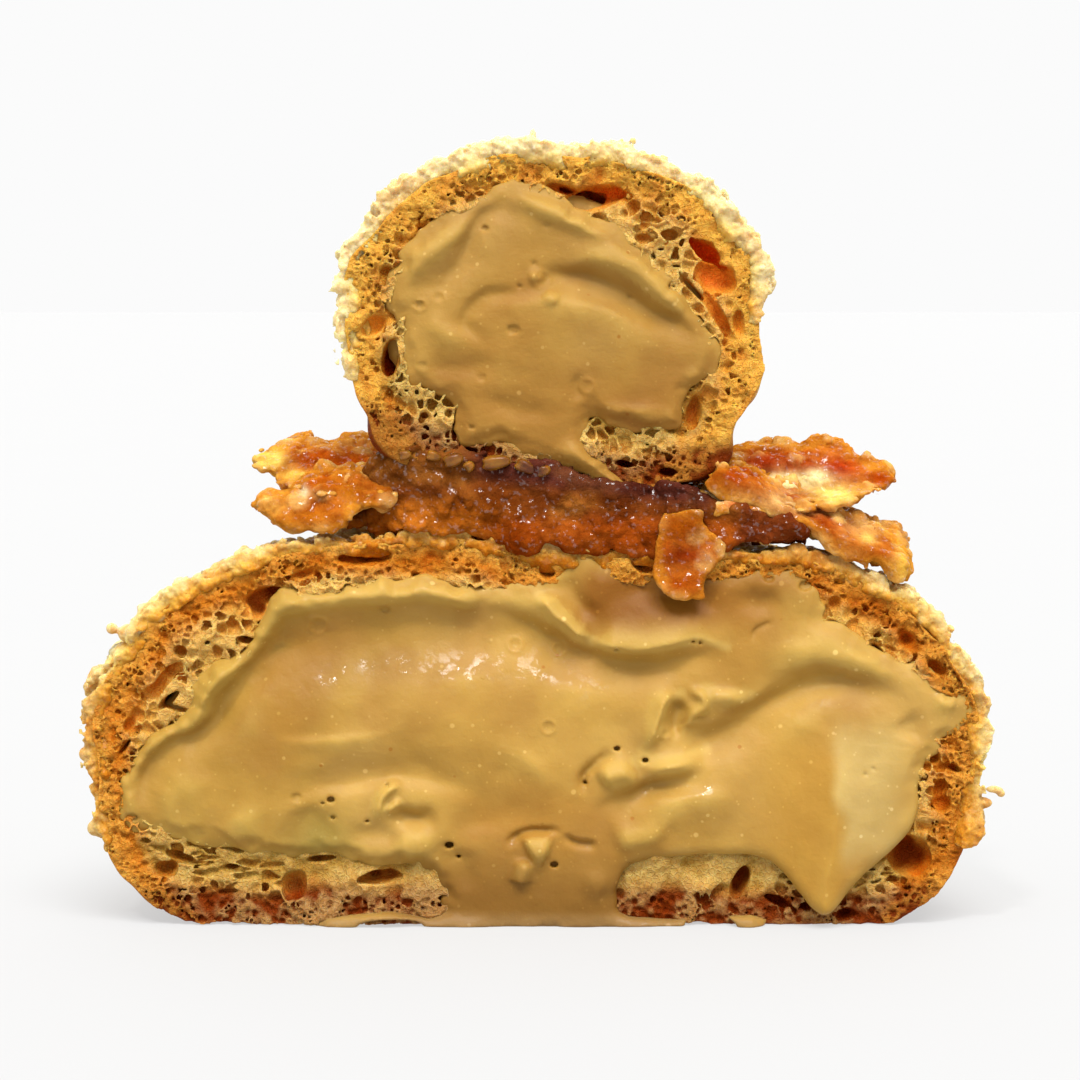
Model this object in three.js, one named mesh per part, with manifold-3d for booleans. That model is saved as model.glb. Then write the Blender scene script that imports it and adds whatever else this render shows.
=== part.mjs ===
// Half of a religieuse: a small choux bun on a large one, each filled with coffee cream and cut
// through the middle, with a bed of soft caramel and shards of seed brittle between the two.
//
// Millimetres, +Z up. The knife cut is a vertical plane that faces -Y, and the half buns lie
// behind it, towards +Y. The origin is at the middle of the footprint, on the table.

import * as THREE from "three";
import { mergeVertices } from "three/addons/utils/BufferGeometryUtils.js";
import Module from "manifold-3d";

const wasm = await Module();
wasm.setup();

// ---------------------------------------------------------------- driving dimensions

const CUT_Y = -17.4; // the plane of the knife cut
const GAP = 0.3; // free space left between neighbouring pieces
const FAR = 60; // more than any piece reaches
const DENT_FADE = 2; // how fast a dent dies away down the side of a bun
const FACE_POWER = 0.25; // how flat the faces of a shard are, up to its steep edge

// A bun is a superellipsoid of revolution about a vertical axis in the cut plane: its half
// width, its depth, how far it rises and drops from its widest level, and how square it is
// there. Its floor is flat. Its coat is the crumbly sugar crust, which ends in a ledge.
const BASE_BUN = {
  centre: [0, CUT_Y, 12.8],
  half: 37.2,
  depth: 36,
  rise: 20.6,
  drop: 20.4,
  upperPower: 2.7,
  lowerPower: 2.3,
  lump: 0.5,
  lumpSize: 7.5,
  dent: { x: 8, y: CUT_Y + 2, width: 15, depth: 2.6 },
  floor: 0,
  coat: { thick: 1.3, edge: 6.2 },
  detail: 10,
};
const BASE_CAVITY = {
  centre: [0.4, CUT_Y, 14],
  half: 34.4,
  depth: 32.4,
  rise: 14.9,
  drop: 8.5,
  upperPower: 2.1,
  lowerPower: 3,
  lump: 0.35,
  lumpSize: 9,
  dent: { x: 8, y: CUT_Y + 2, width: 15, depth: 1.2 },
  detail: 6,
};
const TOP_BUN = {
  centre: [1.5, CUT_Y, 52],
  half: 17.3,
  depth: 16.8,
  rise: 13.3,
  drop: 16.6,
  upperPower: 2.1,
  lowerPower: 2.5,
  lump: 0.35,
  lumpSize: 5.5,
  floor: 37.7,
  coat: { thick: 1.2, edge: 50.4 },
  detail: 7,
};
const TOP_CAVITY = {
  centre: [0.6, CUT_Y, 51.4],
  half: 14.3,
  depth: 13.6,
  rise: 11.3,
  drop: 10.2,
  upperPower: 2,
  lowerPower: 2.2,
  lump: 0.25,
  lumpSize: 6,
  detail: 5,
};

// Each bun was filled through a hole in its floor, and the knife went through both holes.
const BASE_HOLE = { x: -0.6, radius: 6.4, bottom: 0, top: 10 };
const TOP_HOLE = { x: -1, radius: 6, bottom: 37.7, top: 45 };

// Large bubbles that the knife opened in the walls: place in the cut plane, half sizes along
// X and Z, tilt in degrees, and how deep each runs behind the cut.
const BASE_BUBBLES = [
  { x: -15.3, z: 31.6, across: 2.3, high: 0.7, tilt: 4, deep: 2.6 },
  { x: -22.6, z: 28.3, across: 2.4, high: 0.8, tilt: 20, deep: 2.4 },
  { x: -30.6, z: 19.6, across: 2.2, high: 0.8, tilt: 48, deep: 1.8 },
  { x: -13.6, z: 4, across: 2, high: 0.8, tilt: 6, deep: 2.2 },
  { x: 17.3, z: 3.5, across: 1, high: 1.5, tilt: -18, deep: 2 },
  { x: 31.9, z: 6, across: 2.2, high: 2, tilt: -20, deep: 3.4 },
];
const TOP_BUBBLES = [
  { x: 5.2, z: 61.9, across: 3, high: 1.1, tilt: -2, deep: 3 },
  { x: 14, z: 57.1, across: 1.7, high: 1.1, tilt: -20, deep: 2.6 },
  { x: 16, z: 52.8, across: 1.2, high: 3.6, tilt: 22, deep: 2 },
  { x: -12.5, z: 48, across: 0.9, high: 1.8, tilt: -6, deep: 2.4 },
  { x: 13.2, z: 44, across: 1, high: 1.6, tilt: -14, deep: 2.4 },
];

// Cream that stands proud of the cut. A stroke is a rounded ridge (or, with a negative
// height, a furrow) along a path in the cut plane.
const BASE_CREAM = {
  proud: 0.4, // how far the face stands out of the cut
  bulge: { x: -2, z: 13, across: 34, high: 10, height: 0.8 },
  smears: [
    { x: 0.4, z: 14, across: 35.2, high: 15.4, low: 8.8 },
    { x: 12.5, z: 27.4, across: 12.5, high: 3.8, low: 6 },
    { x: 29, z: 19.3, across: 7.6, high: 3.4, low: 4.5 },
  ],
  drip: { x: 24.3, tip: 1.2, top: 10, left: 6.4, right: 6.8, round: 0.8 },
  skirt: { left: -7.4, right: 6.3, top: 8, flare: 3 },
  strokes: [
    { path: [[-33, 12], [-28, 18.5], [-21, 25], [-14, 27.6], [-5, 27.6]], width: 2.4, height: 0.8 },
    { path: [[-31, 12.5], [-25, 18.5], [-18, 23.4], [-6, 24], [4, 22.4], [14, 22.8]], width: 3, height: -2.2 },
    { path: [[0, 29], [3.8, 25], [5.5, 23.8], [10, 23.6], [15.8, 23.9]], width: 1.5, height: 1.3 },
    { path: [[18, 21], [25, 21.4], [33, 18.8]], width: 3, height: -1.2 },
    { path: [[10.6, 19.6], [9.4, 16.2]], width: 1.3, height: 1 },
    { path: [[5.4, 13], [8.4, 13.6], [13.6, 14.5]], width: 1.5, height: 1.2 },
    { path: [[11.5, 16.8], [17, 18.6]], width: 2.2, height: -1.2 },
    { path: [[5.5, 10.6], [10, 11.4], [15, 13]], width: 1.5, height: -0.8 },
    { path: [[25.6, 16.5], [25, 9.5], [24.4, 2]], width: 3.4, height: 1.5 },
    { path: [[-1.6, 7.6], [1.6, 7.4], [2, 4]], width: 1.8, height: 0.8 },
  ],
};
const TOP_CREAM = {
  proud: 0.4,
  bulge: { x: 1, z: 50, across: 13, high: 10, height: 0.8 },
  smears: [
    { x: 0.4, z: 51.2, across: 14.6, high: 11.2, low: 10 },
    { x: -1, z: 41.5, across: 6.2, high: 4, low: 3.2 },
  ],
  drip: { x: 7.2, tip: 35.6, top: 41, left: 7.5, right: 0.6, round: 0.5 },
  strokes: [
    { path: [[-13, 52], [-9, 57.5], [-3, 60.6]], width: 2, height: 0.8 },
    { path: [[-11, 49.5], [-7.5, 55], [-2.5, 58.6]], width: 1.8, height: -0.8 },
    { path: [[2, 56.4], [8, 54.8], [14, 50]], width: 2, height: -1.1 },
    { path: [[4, 59], [10, 57.4], [15, 52]], width: 1.8, height: 0.6 },
    { path: [[-12, 41], [-8, 44], [-3, 45.2]], width: 2, height: -0.6 },
  ],
};

// The caramel bed is a flattened lump that fills the room between the buns.
const CARAMEL = {
  centre: [1.2, CUT_Y, 36.9],
  half: 16.8,
  depth: 15.6,
  rise: 4.6,
  drop: 6,
  upperPower: 3.2,
  lowerPower: 3.2,
  lump: 0.7,
  lumpSize: 4.6,
  detail: 5,
};

// Shards of brittle: the middle of each, its half sizes, thickness, turns in degrees about
// X, Y and Z, how ragged its edge is, and how far its face curls.
const SHARDS = {
  brittle_left_back: {
    at: [-16.4, CUT_Y + 8.6, 38.7], half: [7.6, 5.6], thick: 2.3,
    turn: [30, 2, 10], ragged: 0.14, curl: 0.7, phase: 0.4,
  },
  brittle_left_front: {
    at: [-17.2, CUT_Y + 3.6, 36.4], half: [6.6, 4.4], thick: 2.3,
    turn: [24, -12, -8], ragged: 0.13, curl: 0.6, phase: 2.1,
  },
  brittle_right_back: {
    at: [20.8, CUT_Y + 8.4, 39], half: [9.6, 5.6], thick: 2.2,
    turn: [16, 5, -6], ragged: 0.12, curl: 0.9, phase: 3.6,
  },
  brittle_right_front: {
    at: [22.4, CUT_Y + 3.8, 34.9], half: [10.2, 4], thick: 2.4,
    turn: [12, 27, -2], ragged: 0.1, curl: 0.5, phase: 5,
  },
};
const CHIP = {
  at: [12.7, CUT_Y - 1.5, 31.6], half: [3, 3.9], thick: 1.6,
  turn: [86, 0, 10], ragged: 0.1, curl: 0.3, phase: 1.2,
};

const COLOURS = {
  choux: { color: 0xd08b35, roughness: 0.85 },
  cream: { color: 0xc89a4c, roughness: 0.42 },
  caramel: { color: 0x8a4519, roughness: 0.25 },
  brittle: { color: 0xc87226, roughness: 0.22 },
};

// ---------------------------------------------------------------- small maths helpers

const radians = THREE.MathUtils.degToRad;
const bell = (t) => Math.exp(-t * t);

// Soft lumps, from -1 to 1, about lumpSize across.
function lumps(x, y, z, size) {
  const f = Math.PI / size;
  const coarse = Math.sin(x * f + 1.3) * Math.sin(y * f + 0.7) * Math.sin(z * f * 1.1 + 2.1);
  const fine = Math.sin(x * f * 2.1 + 0.2) * Math.sin(y * f * 1.9 + 2.6) * Math.sin(z * f * 2.3 + 1.1);
  return coarse + 0.5 * fine;
}

function distanceToPath(x, z, path) {
  let best = Infinity;
  for (let i = 0; i + 1 < path.length; i++) {
    const [ax, az] = path[i];
    const [dx, dz] = [path[i + 1][0] - ax, path[i + 1][1] - az];
    const along = ((x - ax) * dx + (z - az) * dz) / (dx * dx + dz * dz);
    const t = THREE.MathUtils.clamp(along, 0, 1);
    best = Math.min(best, Math.hypot(x - ax - t * dx, z - az - t * dz));
  }
  return best;
}

// ---------------------------------------------------------------- solids

// A closed three.js geometry as a solid that can be joined and cut.
function solidOf(geometry) {
  const bare = geometry.index ? geometry.toNonIndexed() : geometry.clone();
  bare.deleteAttribute("normal");
  bare.deleteAttribute("uv");
  const merged = mergeVertices(bare, 1e-4);
  return new wasm.Manifold(
    new wasm.Mesh({
      numProp: 3,
      vertProperties: merged.attributes.position.array,
      triVerts: new Uint32Array(merged.index.array),
    }),
  );
}

function geometryOf(solid) {
  const { vertProperties, triVerts } = solid.getMesh();
  const geometry = new THREE.BufferGeometry();
  geometry.setAttribute("position", new THREE.BufferAttribute(vertProperties, 3));
  geometry.setIndex(new THREE.BufferAttribute(triVerts, 1));
  geometry.computeVertexNormals();
  return geometry;
}

function block(low, high) {
  const size = high.map((value, i) => value - low[i]);
  const middle = high.map((value, i) => (value + low[i]) / 2);
  return solidOf(new THREE.BoxGeometry(...size).translate(...middle));
}

// Moves every vertex of a geometry to where place(x, y, z) puts it.
function reshape(geometry, place) {
  const points = geometry.attributes.position;
  for (let i = 0; i < points.count; i++) {
    points.setXYZ(i, ...place(points.getX(i), points.getY(i), points.getZ(i)));
  }
  return geometry;
}

// A closed superellipsoid with soft lumps, grown outwards by a margin.
function lumpSolid(form, margin = 0) {
  const ball = new THREE.IcosahedronGeometry(1, form.detail);
  const place = (ux, uy, uz) => {
    const upper = uz >= 0;
    const height = (upper ? form.rise : form.drop) + margin;
    const power = upper ? form.upperPower : form.lowerPower;
    const level = Math.hypot(ux / (form.half + margin), uy / (form.depth + margin));
    const reach = (level ** power + Math.abs(uz / height) ** power) ** (-1 / power);
    const swell = reach + form.lump * lumps(reach * ux, reach * uy, reach * uz, form.lumpSize);
    const [x, y] = [form.centre[0] + swell * ux, form.centre[1] + swell * uy];
    const z = form.centre[2] + swell * uz;
    if (!form.dent || !upper) return [x, y, z];
    const near = bell(Math.hypot(x - form.dent.x, y - form.dent.y) / form.dent.width);
    return [x, y, z - form.dent.depth * near * uz ** DENT_FADE];
  };
  return solidOf(reshape(ball, place));
}

const inFront = block([-FAR, -FAR, -FAR], [FAR, CUT_Y, 2 * FAR]);
const underTable = block([-FAR, -FAR, -FAR], [FAR, FAR, 0]);

// A whole bun with its coat and its flat floor, grown outwards by a margin.
function bunSolid(bun, margin = 0) {
  const belowCoat = block([-FAR, -FAR, -FAR], [FAR, FAR, bun.coat.edge - margin]);
  const belowFloor = block([-FAR, -FAR, -FAR], [FAR, FAR, bun.floor - margin]);
  const coat = lumpSolid(bun, bun.coat.thick + margin).subtract(belowCoat);
  return lumpSolid(bun, margin).add(coat).subtract(belowFloor);
}

function bubbleSolid({ x, z, across, high, tilt, deep }) {
  const ball = new THREE.IcosahedronGeometry(1, 1);
  ball.scale(across, deep, high).rotateY(radians(-tilt)).translate(x, CUT_Y, z);
  return solidOf(ball);
}

// The round hole in a bun's floor, or with a margin the cream that fills it.
function holeSolid({ x, radius, bottom, top }, margin = 0) {
  const plug = new THREE.CylinderGeometry(radius + margin, radius + margin, top - bottom, 24);
  return solidOf(plug.rotateX(Math.PI / 2).translate(x, CUT_Y, (top + bottom) / 2));
}

// The baked wall of one bun: hollow, with its filling hole, cut in half.
function shellSolid(bun, cavity, hole, bubbles) {
  let shell = bunSolid(bun).subtract(lumpSolid(cavity));
  shell = shell.subtract(holeSolid({ ...hole, bottom: hole.bottom - 1 }));
  for (const bubble of bubbles) shell = shell.subtract(bubbleSolid(bubble));
  return shell.subtract(inFront);
}

// ---------------------------------------------------------------- cream

function creamProud(x, z, cream) {
  const { bulge } = cream;
  const out = Math.hypot((x - bulge.x) / bulge.across, (z - bulge.z) / bulge.high);
  let proud = cream.proud + bulge.height * bell(out);
  for (const { path, width, height } of cream.strokes) {
    proud += height * bell(distanceToPath(x, z, path) / width);
  }
  return proud;
}

// A thick slab whose front follows the cream's ridges and furrows.
function reliefSolid(cream, low, high, step) {
  const [wide, tall] = [high[0] - low[0], high[1] - low[1]];
  const slab = new THREE.BoxGeometry(wide, FAR, tall, Math.round(wide / step), 1, Math.round(tall / step));
  const [midX, midZ] = [(low[0] + high[0]) / 2, (low[1] + high[1]) / 2];
  const place = (x, y, z) => {
    const [worldX, worldZ] = [x + midX, z + midZ];
    const front = CUT_Y - creamProud(worldX, worldZ, cream);
    return [worldX, y < 0 ? front : CUT_Y + FAR, worldZ];
  };
  return solidOf(reshape(slab, place));
}

// An outline in the cut plane, drawn as (x, z), as a solid that lies in front of the cut.
function apronSolid(shape, segments = 8) {
  const reach = 8;
  const sheet = new THREE.ExtrudeGeometry(shape, { depth: reach, bevelEnabled: false, curveSegments: segments });
  return solidOf(sheet.rotateX(Math.PI / 2).translate(0, CUT_Y - GAP, 0));
}

// Two half ellipses, one rising to high and one reaching down to low.
function smearShape({ x, z, across, high, low }) {
  return new THREE.Shape()
    .absellipse(x, z, across, high, 0, Math.PI)
    .absellipse(x, z, across, low, Math.PI, 2 * Math.PI);
}

// The tongue of cream that ran down over the lower wall and ends in a rounded drop.
function dripShape({ x, tip, top, left, right, round }) {
  const shape = new THREE.Shape();
  shape.moveTo(x - left, top);
  shape.quadraticCurveTo(x - left * 0.55, tip + 3.6, x - round, tip + round * 0.5);
  shape.quadraticCurveTo(x, tip - round * 0.4, x + round, tip + round * 0.5);
  shape.quadraticCurveTo(x + right * 0.4, tip + 3, x + right, top);
  shape.closePath();
  return shape;
}

// Cream that slid down to the table through the gap in the lower wall.
function skirtShape({ left, right, top, flare }) {
  const shape = new THREE.Shape();
  shape.moveTo(left - flare, top);
  shape.quadraticCurveTo(left, top / 2, left, GAP);
  shape.lineTo(right, GAP);
  shape.quadraticCurveTo(right, top / 2, right + flare, top);
  shape.closePath();
  return shape;
}

function creamSolid(cream, cavity, hole, low, high, step) {
  const outlines = [...cream.smears.map(smearShape), dripShape(cream.drip)];
  if (cream.skirt) outlines.push(skirtShape(cream.skirt));
  let body = lumpSolid(cavity, -GAP).add(holeSolid(hole, -GAP));
  for (const outline of outlines) body = body.add(apronSolid(outline));
  return body.intersect(reliefSolid(cream, low, high, step)).subtract(underTable);
}

// ---------------------------------------------------------------- caramel and brittle

// All that the two buns take up, with the gap that neighbours keep.
const buns = bunSolid(BASE_BUN, GAP).add(bunSolid(TOP_BUN, GAP));

function caramelSolid() {
  return lumpSolid(CARAMEL).subtract(inFront).subtract(buns);
}

// A flat piece of brittle with a ragged outline and curled faces, lying in its own XY plane.
function shardGeometry({ half, thick, ragged, curl, phase }) {
  const ball = new THREE.SphereGeometry(1, 16, 6);
  return reshape(ball, (x, y, z) => {
    const angle = Math.atan2(z, x);
    const edge = 1 + ragged * (Math.sin(3 * angle + phase) + 0.6 * Math.sin(7 * angle + 2 * phase));
    const [px, py] = [x * edge * half[0], -z * edge * half[1]];
    const face = Math.sign(y) * Math.abs(y) ** FACE_POWER * (thick / 2);
    const bend = curl * (Math.sin(px / 3 + phase) + 0.6 * Math.cos(py / 2.4 + phase));
    return [px, py, face + bend];
  });
}

function placed(geometry, { at, turn }) {
  const turns = new THREE.Euler(...turn.map(radians), "XYZ");
  const where = new THREE.Matrix4().makeRotationFromEuler(turns).setPosition(...at);
  return geometry.applyMatrix4(where);
}

// The space of a shard and the gap round it.
function roomFor(shard) {
  const half = shard.half.map((side) => side + GAP);
  return solidOf(placed(shardGeometry({ ...shard, half, thick: shard.thick + 2 * GAP }), shard));
}

// ---------------------------------------------------------------- the scene graph

const pastry = new THREE.Group();

function addPiece(name, solid, look) {
  const mesh = new THREE.Mesh(geometryOf(solid), new THREE.MeshStandardMaterial({ metalness: 0, ...look }));
  mesh.name = name;
  pastry.add(mesh);
  return solid;
}

addPiece("base_shell", shellSolid(BASE_BUN, BASE_CAVITY, BASE_HOLE, BASE_BUBBLES), COLOURS.choux);
addPiece("top_shell", shellSolid(TOP_BUN, TOP_CAVITY, TOP_HOLE, TOP_BUBBLES), COLOURS.choux);

// The chip of brittle is pressed into the cream of the large bun.
const chip = solidOf(placed(shardGeometry(CHIP), CHIP));
const chipRoom = roomFor(CHIP);
const baseCream = creamSolid(BASE_CREAM, BASE_CAVITY, BASE_HOLE, [-39, -2], [39, 34], 2);
const topCream = creamSolid(TOP_CREAM, TOP_CAVITY, TOP_HOLE, [-18, 34], [20, 66], 1.8);
addPiece("brittle_chip", chip, COLOURS.brittle);
addPiece("base_cream", baseCream.subtract(chipRoom), COLOURS.cream);
addPiece("top_cream", topCream, COLOURS.cream);

// Each shard gives way to the buns and to the shards before it, and the caramel to all.
let caramel = caramelSolid().subtract(chipRoom);
let taken = buns;
for (const [name, shard] of Object.entries(SHARDS)) {
  addPiece(name, solidOf(placed(shardGeometry(shard), shard)).subtract(taken), COLOURS.brittle);
  taken = taken.add(roomFor(shard));
  caramel = caramel.subtract(roomFor(shard));
}
addPiece("caramel_bed", caramel, COLOURS.caramel);

export default pastry;
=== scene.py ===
"""The looks of a religieuse cut in half: choux buns, coffee cream, caramel and seed brittle.

Lengths are millimetres until a mesh is made, and Blender's objects are in metres. Every form is
a field of distances, below zero inside, sampled on a grid and turned into a mesh.
"""

import itertools
import math

import bpy
import numpy as np
import openvdb
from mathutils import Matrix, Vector


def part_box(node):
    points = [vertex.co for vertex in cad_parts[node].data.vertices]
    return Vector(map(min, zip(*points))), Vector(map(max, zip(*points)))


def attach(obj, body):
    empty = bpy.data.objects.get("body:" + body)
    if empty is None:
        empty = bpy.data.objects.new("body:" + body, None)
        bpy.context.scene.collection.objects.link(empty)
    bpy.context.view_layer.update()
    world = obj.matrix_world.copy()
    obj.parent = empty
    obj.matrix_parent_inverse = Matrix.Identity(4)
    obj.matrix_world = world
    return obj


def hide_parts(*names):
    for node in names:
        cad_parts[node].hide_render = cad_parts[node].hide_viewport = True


MM = 0.001
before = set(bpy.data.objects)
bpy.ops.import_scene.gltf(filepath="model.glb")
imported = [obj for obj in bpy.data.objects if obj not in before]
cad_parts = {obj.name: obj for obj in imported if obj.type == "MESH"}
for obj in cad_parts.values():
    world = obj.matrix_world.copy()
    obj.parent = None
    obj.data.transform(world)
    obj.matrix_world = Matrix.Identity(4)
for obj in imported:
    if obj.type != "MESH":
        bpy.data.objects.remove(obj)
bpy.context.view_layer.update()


def node_box(name):
    """A CAD node's lowest and highest corners, in millimetres."""
    return [np.array(corner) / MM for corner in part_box(name)]


# ------------------------------------------------------------------ driving dimensions

CUT_Y = float(node_box("base_shell")[0][1])  # the plane of the knife cut
COARSE = 1.0
GRID_CRUMB = 0.13 * COARSE
GRID_FRONT = 0.17 * COARSE
GRID_BACK = 0.34 * COARSE
GRID_HIDDEN = 0.9
GRID_GLAZE = 0.18 * COARSE
FRONT_DEPTH = 3.4  # how far behind the cut the fine grids reach
LAP = 0.04  # how far the back of a piece reaches into its front

# The camera: what it sees across at the cut, its lens, what it looks at and where it stands.
VIEW_WIDTH = 91.0
FOCAL, SENSOR = 100.0, 36.0
TARGET = (0.3, CUT_Y, 32.9)
AWAY = VIEW_WIDTH * FOCAL / SENSOR
RISE = math.radians(4.5)
EYE = (TARGET[0], CUT_Y - AWAY * math.cos(RISE), TARGET[2] + AWAY * math.sin(RISE))

BASE_BUN = dict(
    centre=(0, CUT_Y, 12.8), half=37.2, depth=36, rise=20.6, drop=20.4,
    upper_power=2.7, lower_power=2.3, lump=0.5, lump_size=7.5,
    dent=dict(x=8, y=CUT_Y + 2, width=15, depth=2.6), floor=0, round_foot=2.4, sag=0, glassy=0, lumps=[],
)
BASE_CAVITY = dict(
    centre=(0.4, CUT_Y, 14), half=34.4, depth=32.4, rise=14.9, drop=8.5,
    upper_power=2.1, lower_power=3, lump=0.35, lump_size=9,
    dent=dict(x=8, y=CUT_Y + 2, width=15, depth=1.2),
)
TOP_BUN = dict(
    centre=(1.5, CUT_Y, 52), half=17.3, depth=16.8, rise=13.3, drop=16.6,
    upper_power=2.1, lower_power=2.5, lump=0.35, lump_size=5.5, floor=37.7, round_foot=3.4, sag=2.0, glassy=0.7,
    lumps=[((12.8, CUT_Y + 2.4, 40.6), (3.9, 3.6, 3.0)), ((-11.2, CUT_Y + 2.4, 42.2), (3.1, 3.4, 2.8))],
)
TOP_CAVITY = dict(
    centre=(0.6, CUT_Y, 51.4), half=14.3, depth=13.6, rise=11.3, drop=10.2,
    upper_power=2, lower_power=2.2, lump=0.25, lump_size=6,
)
CARAMEL = dict(
    centre=(1.2, CUT_Y, 36.9), half=16.8, depth=15.6, rise=4.6, drop=6,
    upper_power=3.2, lower_power=3.2, lump=0.7, lump_size=4.6,
)

# The sugar crust on each bun: how thick it is, how far it is baked into the bun, the level that it ends at, how much
# higher that is per millimetre to the right, how pale it is (which moves its painted highlights on the grain tips
# too), its share of golden cracks (with painted shade between the grains), how bright it is, and the height over the
# bun at which it sinks into the crumb.
BASE_COAT = dict(thick=1.15, sunk=0.9, edge=6.2, lean=0, pale=0.25, gold=0.5, bright=1.16, face=-0.45)
TOP_COAT = dict(thick=1.2, sunk=1.3, edge=47.8, lean=0.15, pale=1.3, gold=0.25, bright=1.24, face=-0.6)

# Large bubbles that the knife opened: place in the cut plane, half sizes, tilt and depth.
BASE_BUBBLES = [
    dict(x=-15.2, z=31.4, across=2.3, high=0.6, tilt=4, deep=2.8),
    dict(x=-19.8, z=30.0, across=1.8, high=0.45, tilt=14, deep=1.4),
    dict(x=-22.5, z=28.3, across=2.0, high=0.75, tilt=24, deep=2.8),
    dict(x=-23.6, z=27.2, across=0.7, high=0.9, tilt=0, deep=2.4),
    dict(x=-25.8, z=25.7, across=0.6, high=0.5, tilt=0, deep=1.2),
    dict(x=-24.6, z=24.4, across=0.8, high=0.33, tilt=-8, deep=1.8),
    dict(x=-30.1, z=23.5, across=0.6, high=0.5, tilt=0, deep=1.4),
    dict(x=-31.7, z=20.9, across=1.9, high=0.65, tilt=48, deep=1.3),
    dict(x=-31.0, z=19.4, across=1.2, high=0.35, tilt=42, deep=2.4),
    dict(x=-30.5, z=18.6, across=1.1, high=0.25, tilt=-12, deep=2.0),
    dict(x=-34.9, z=15.3, across=0.9, high=0.25, tilt=52, deep=1.6),
    dict(x=-34.4, z=17.4, across=1.1, high=0.45, tilt=62, deep=1.2),
    dict(x=-30.1, z=5.8, across=1.0, high=0.3, tilt=-16, deep=1.6),
    dict(x=-31.6, z=4.8, across=0.8, high=0.55, tilt=-10, deep=1.4),
    dict(x=-26.0, z=5.0, across=0.9, high=0.28, tilt=0, deep=1.6),
    dict(x=-20.6, z=3.4, across=1.0, high=1.3, tilt=-16, deep=1.8),
    dict(x=-18.3, z=5.7, across=1.4, high=0.33, tilt=4, deep=2.0),
    dict(x=-13.4, z=4.1, across=1.9, high=0.65, tilt=4, deep=3.0),
    dict(x=-26.6, z=2.8, across=0.9, high=0.4, tilt=4, deep=1.4),
    dict(x=0.9, z=30.2, across=1.0, high=0.55, tilt=-20, deep=1.6),
    dict(x=8.9, z=30.9, across=0.9, high=0.6, tilt=-30, deep=1.8),
    dict(x=17.3, z=3.6, across=0.75, high=1.5, tilt=-22, deep=3.0),
    dict(x=20.6, z=2.0, across=1.5, high=0.5, tilt=-22, deep=2.6),
    dict(x=22.9, z=1.6, across=0.5, high=0.35, tilt=-10, deep=2.0),
    dict(x=26.3, z=0.9, across=0.8, high=0.5, tilt=10, deep=2.0),
    dict(x=31.8, z=5.9, across=2.0, high=1.9, tilt=-35, deep=3.1),
    dict(x=35.2, z=13.5, across=1.0, high=0.4, tilt=-16, deep=1.6),
    dict(x=34.2, z=11.6, across=0.6, high=1.1, tilt=-18, deep=1.4),
    dict(x=34.3, z=10.4, across=1.0, high=0.9, tilt=0, deep=1.4),
    dict(x=36.5, z=11.2, across=0.4, high=1.0, tilt=-14, deep=1.4),
    dict(x=33.8, z=14.3, across=0.45, high=0.6, tilt=10, deep=1.3),
    dict(x=28.7, z=23.5, across=0.6, high=0.4, tilt=-40, deep=2.4),
    dict(x=30.1, z=23.6, across=0.8, high=0.25, tilt=-22, deep=1.6),
    dict(x=31.4, z=24.2, across=1.1, high=0.8, tilt=-50, deep=2.2),
    dict(x=34.0, z=21.9, across=0.9, high=0.5, tilt=-36, deep=1.3),
    dict(x=25.9, z=25.2, across=1.3, high=0.35, tilt=-36, deep=1.4),
    dict(x=25.2, z=27.6, across=0.6, high=0.7, tilt=0, deep=1.2),
    dict(x=25.6, z=29.3, across=0.5, high=0.25, tilt=-14, deep=1.6),
]
TOP_BUBBLES = [
    dict(x=4.9, z=61.6, across=2.2, high=0.95, tilt=8, deep=3.1),
    dict(x=2.3, z=62.3, across=1.5, high=0.35, tilt=-14, deep=2.4),
    dict(x=14.2, z=57.0, across=1.6, high=0.65, tilt=-34, deep=3.0),
    dict(x=15.0, z=55.0, across=1.9, high=1.3, tilt=-30, deep=1.7),
    dict(x=15.3, z=51.6, across=1.9, high=0.5, tilt=-62, deep=2.0),
    dict(x=13.1, z=54.0, across=1.6, high=0.2, tilt=-48, deep=1.6),
    dict(x=17.0, z=51.2, across=0.5, high=1.1, tilt=0, deep=1.2),
    dict(x=-12.3, z=48.2, across=0.75, high=1.7, tilt=-8, deep=3.1),
    dict(x=-13.7, z=50.8, across=0.9, high=0.75, tilt=20, deep=1.1),
    dict(x=-12.6, z=55.5, across=0.6, high=0.5, tilt=0, deep=1.2),
    dict(x=-11.4, z=58.1, across=0.4, high=0.5, tilt=0, deep=1.0),
    dict(x=13.2, z=43.7, across=0.7, high=1.6, tilt=-8, deep=2.6),
    dict(x=11.1, z=58.5, across=0.7, high=0.5, tilt=0, deep=1.1),
    dict(x=8.9, z=58.2, across=0.6, high=0.4, tilt=-10, deep=1.2),
    dict(x=-6.8, z=42.3, across=0.28, high=0.9, tilt=-8, deep=2.2),
    dict(x=-9.5, z=43.4, across=0.45, high=0.35, tilt=0, deep=1.6),
    dict(x=7.4, z=39.3, across=1.0, high=0.4, tilt=-10, deep=2.4),
    dict(x=11.0, z=38.6, across=0.9, high=0.4, tilt=0, deep=2.4),
]

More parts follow.
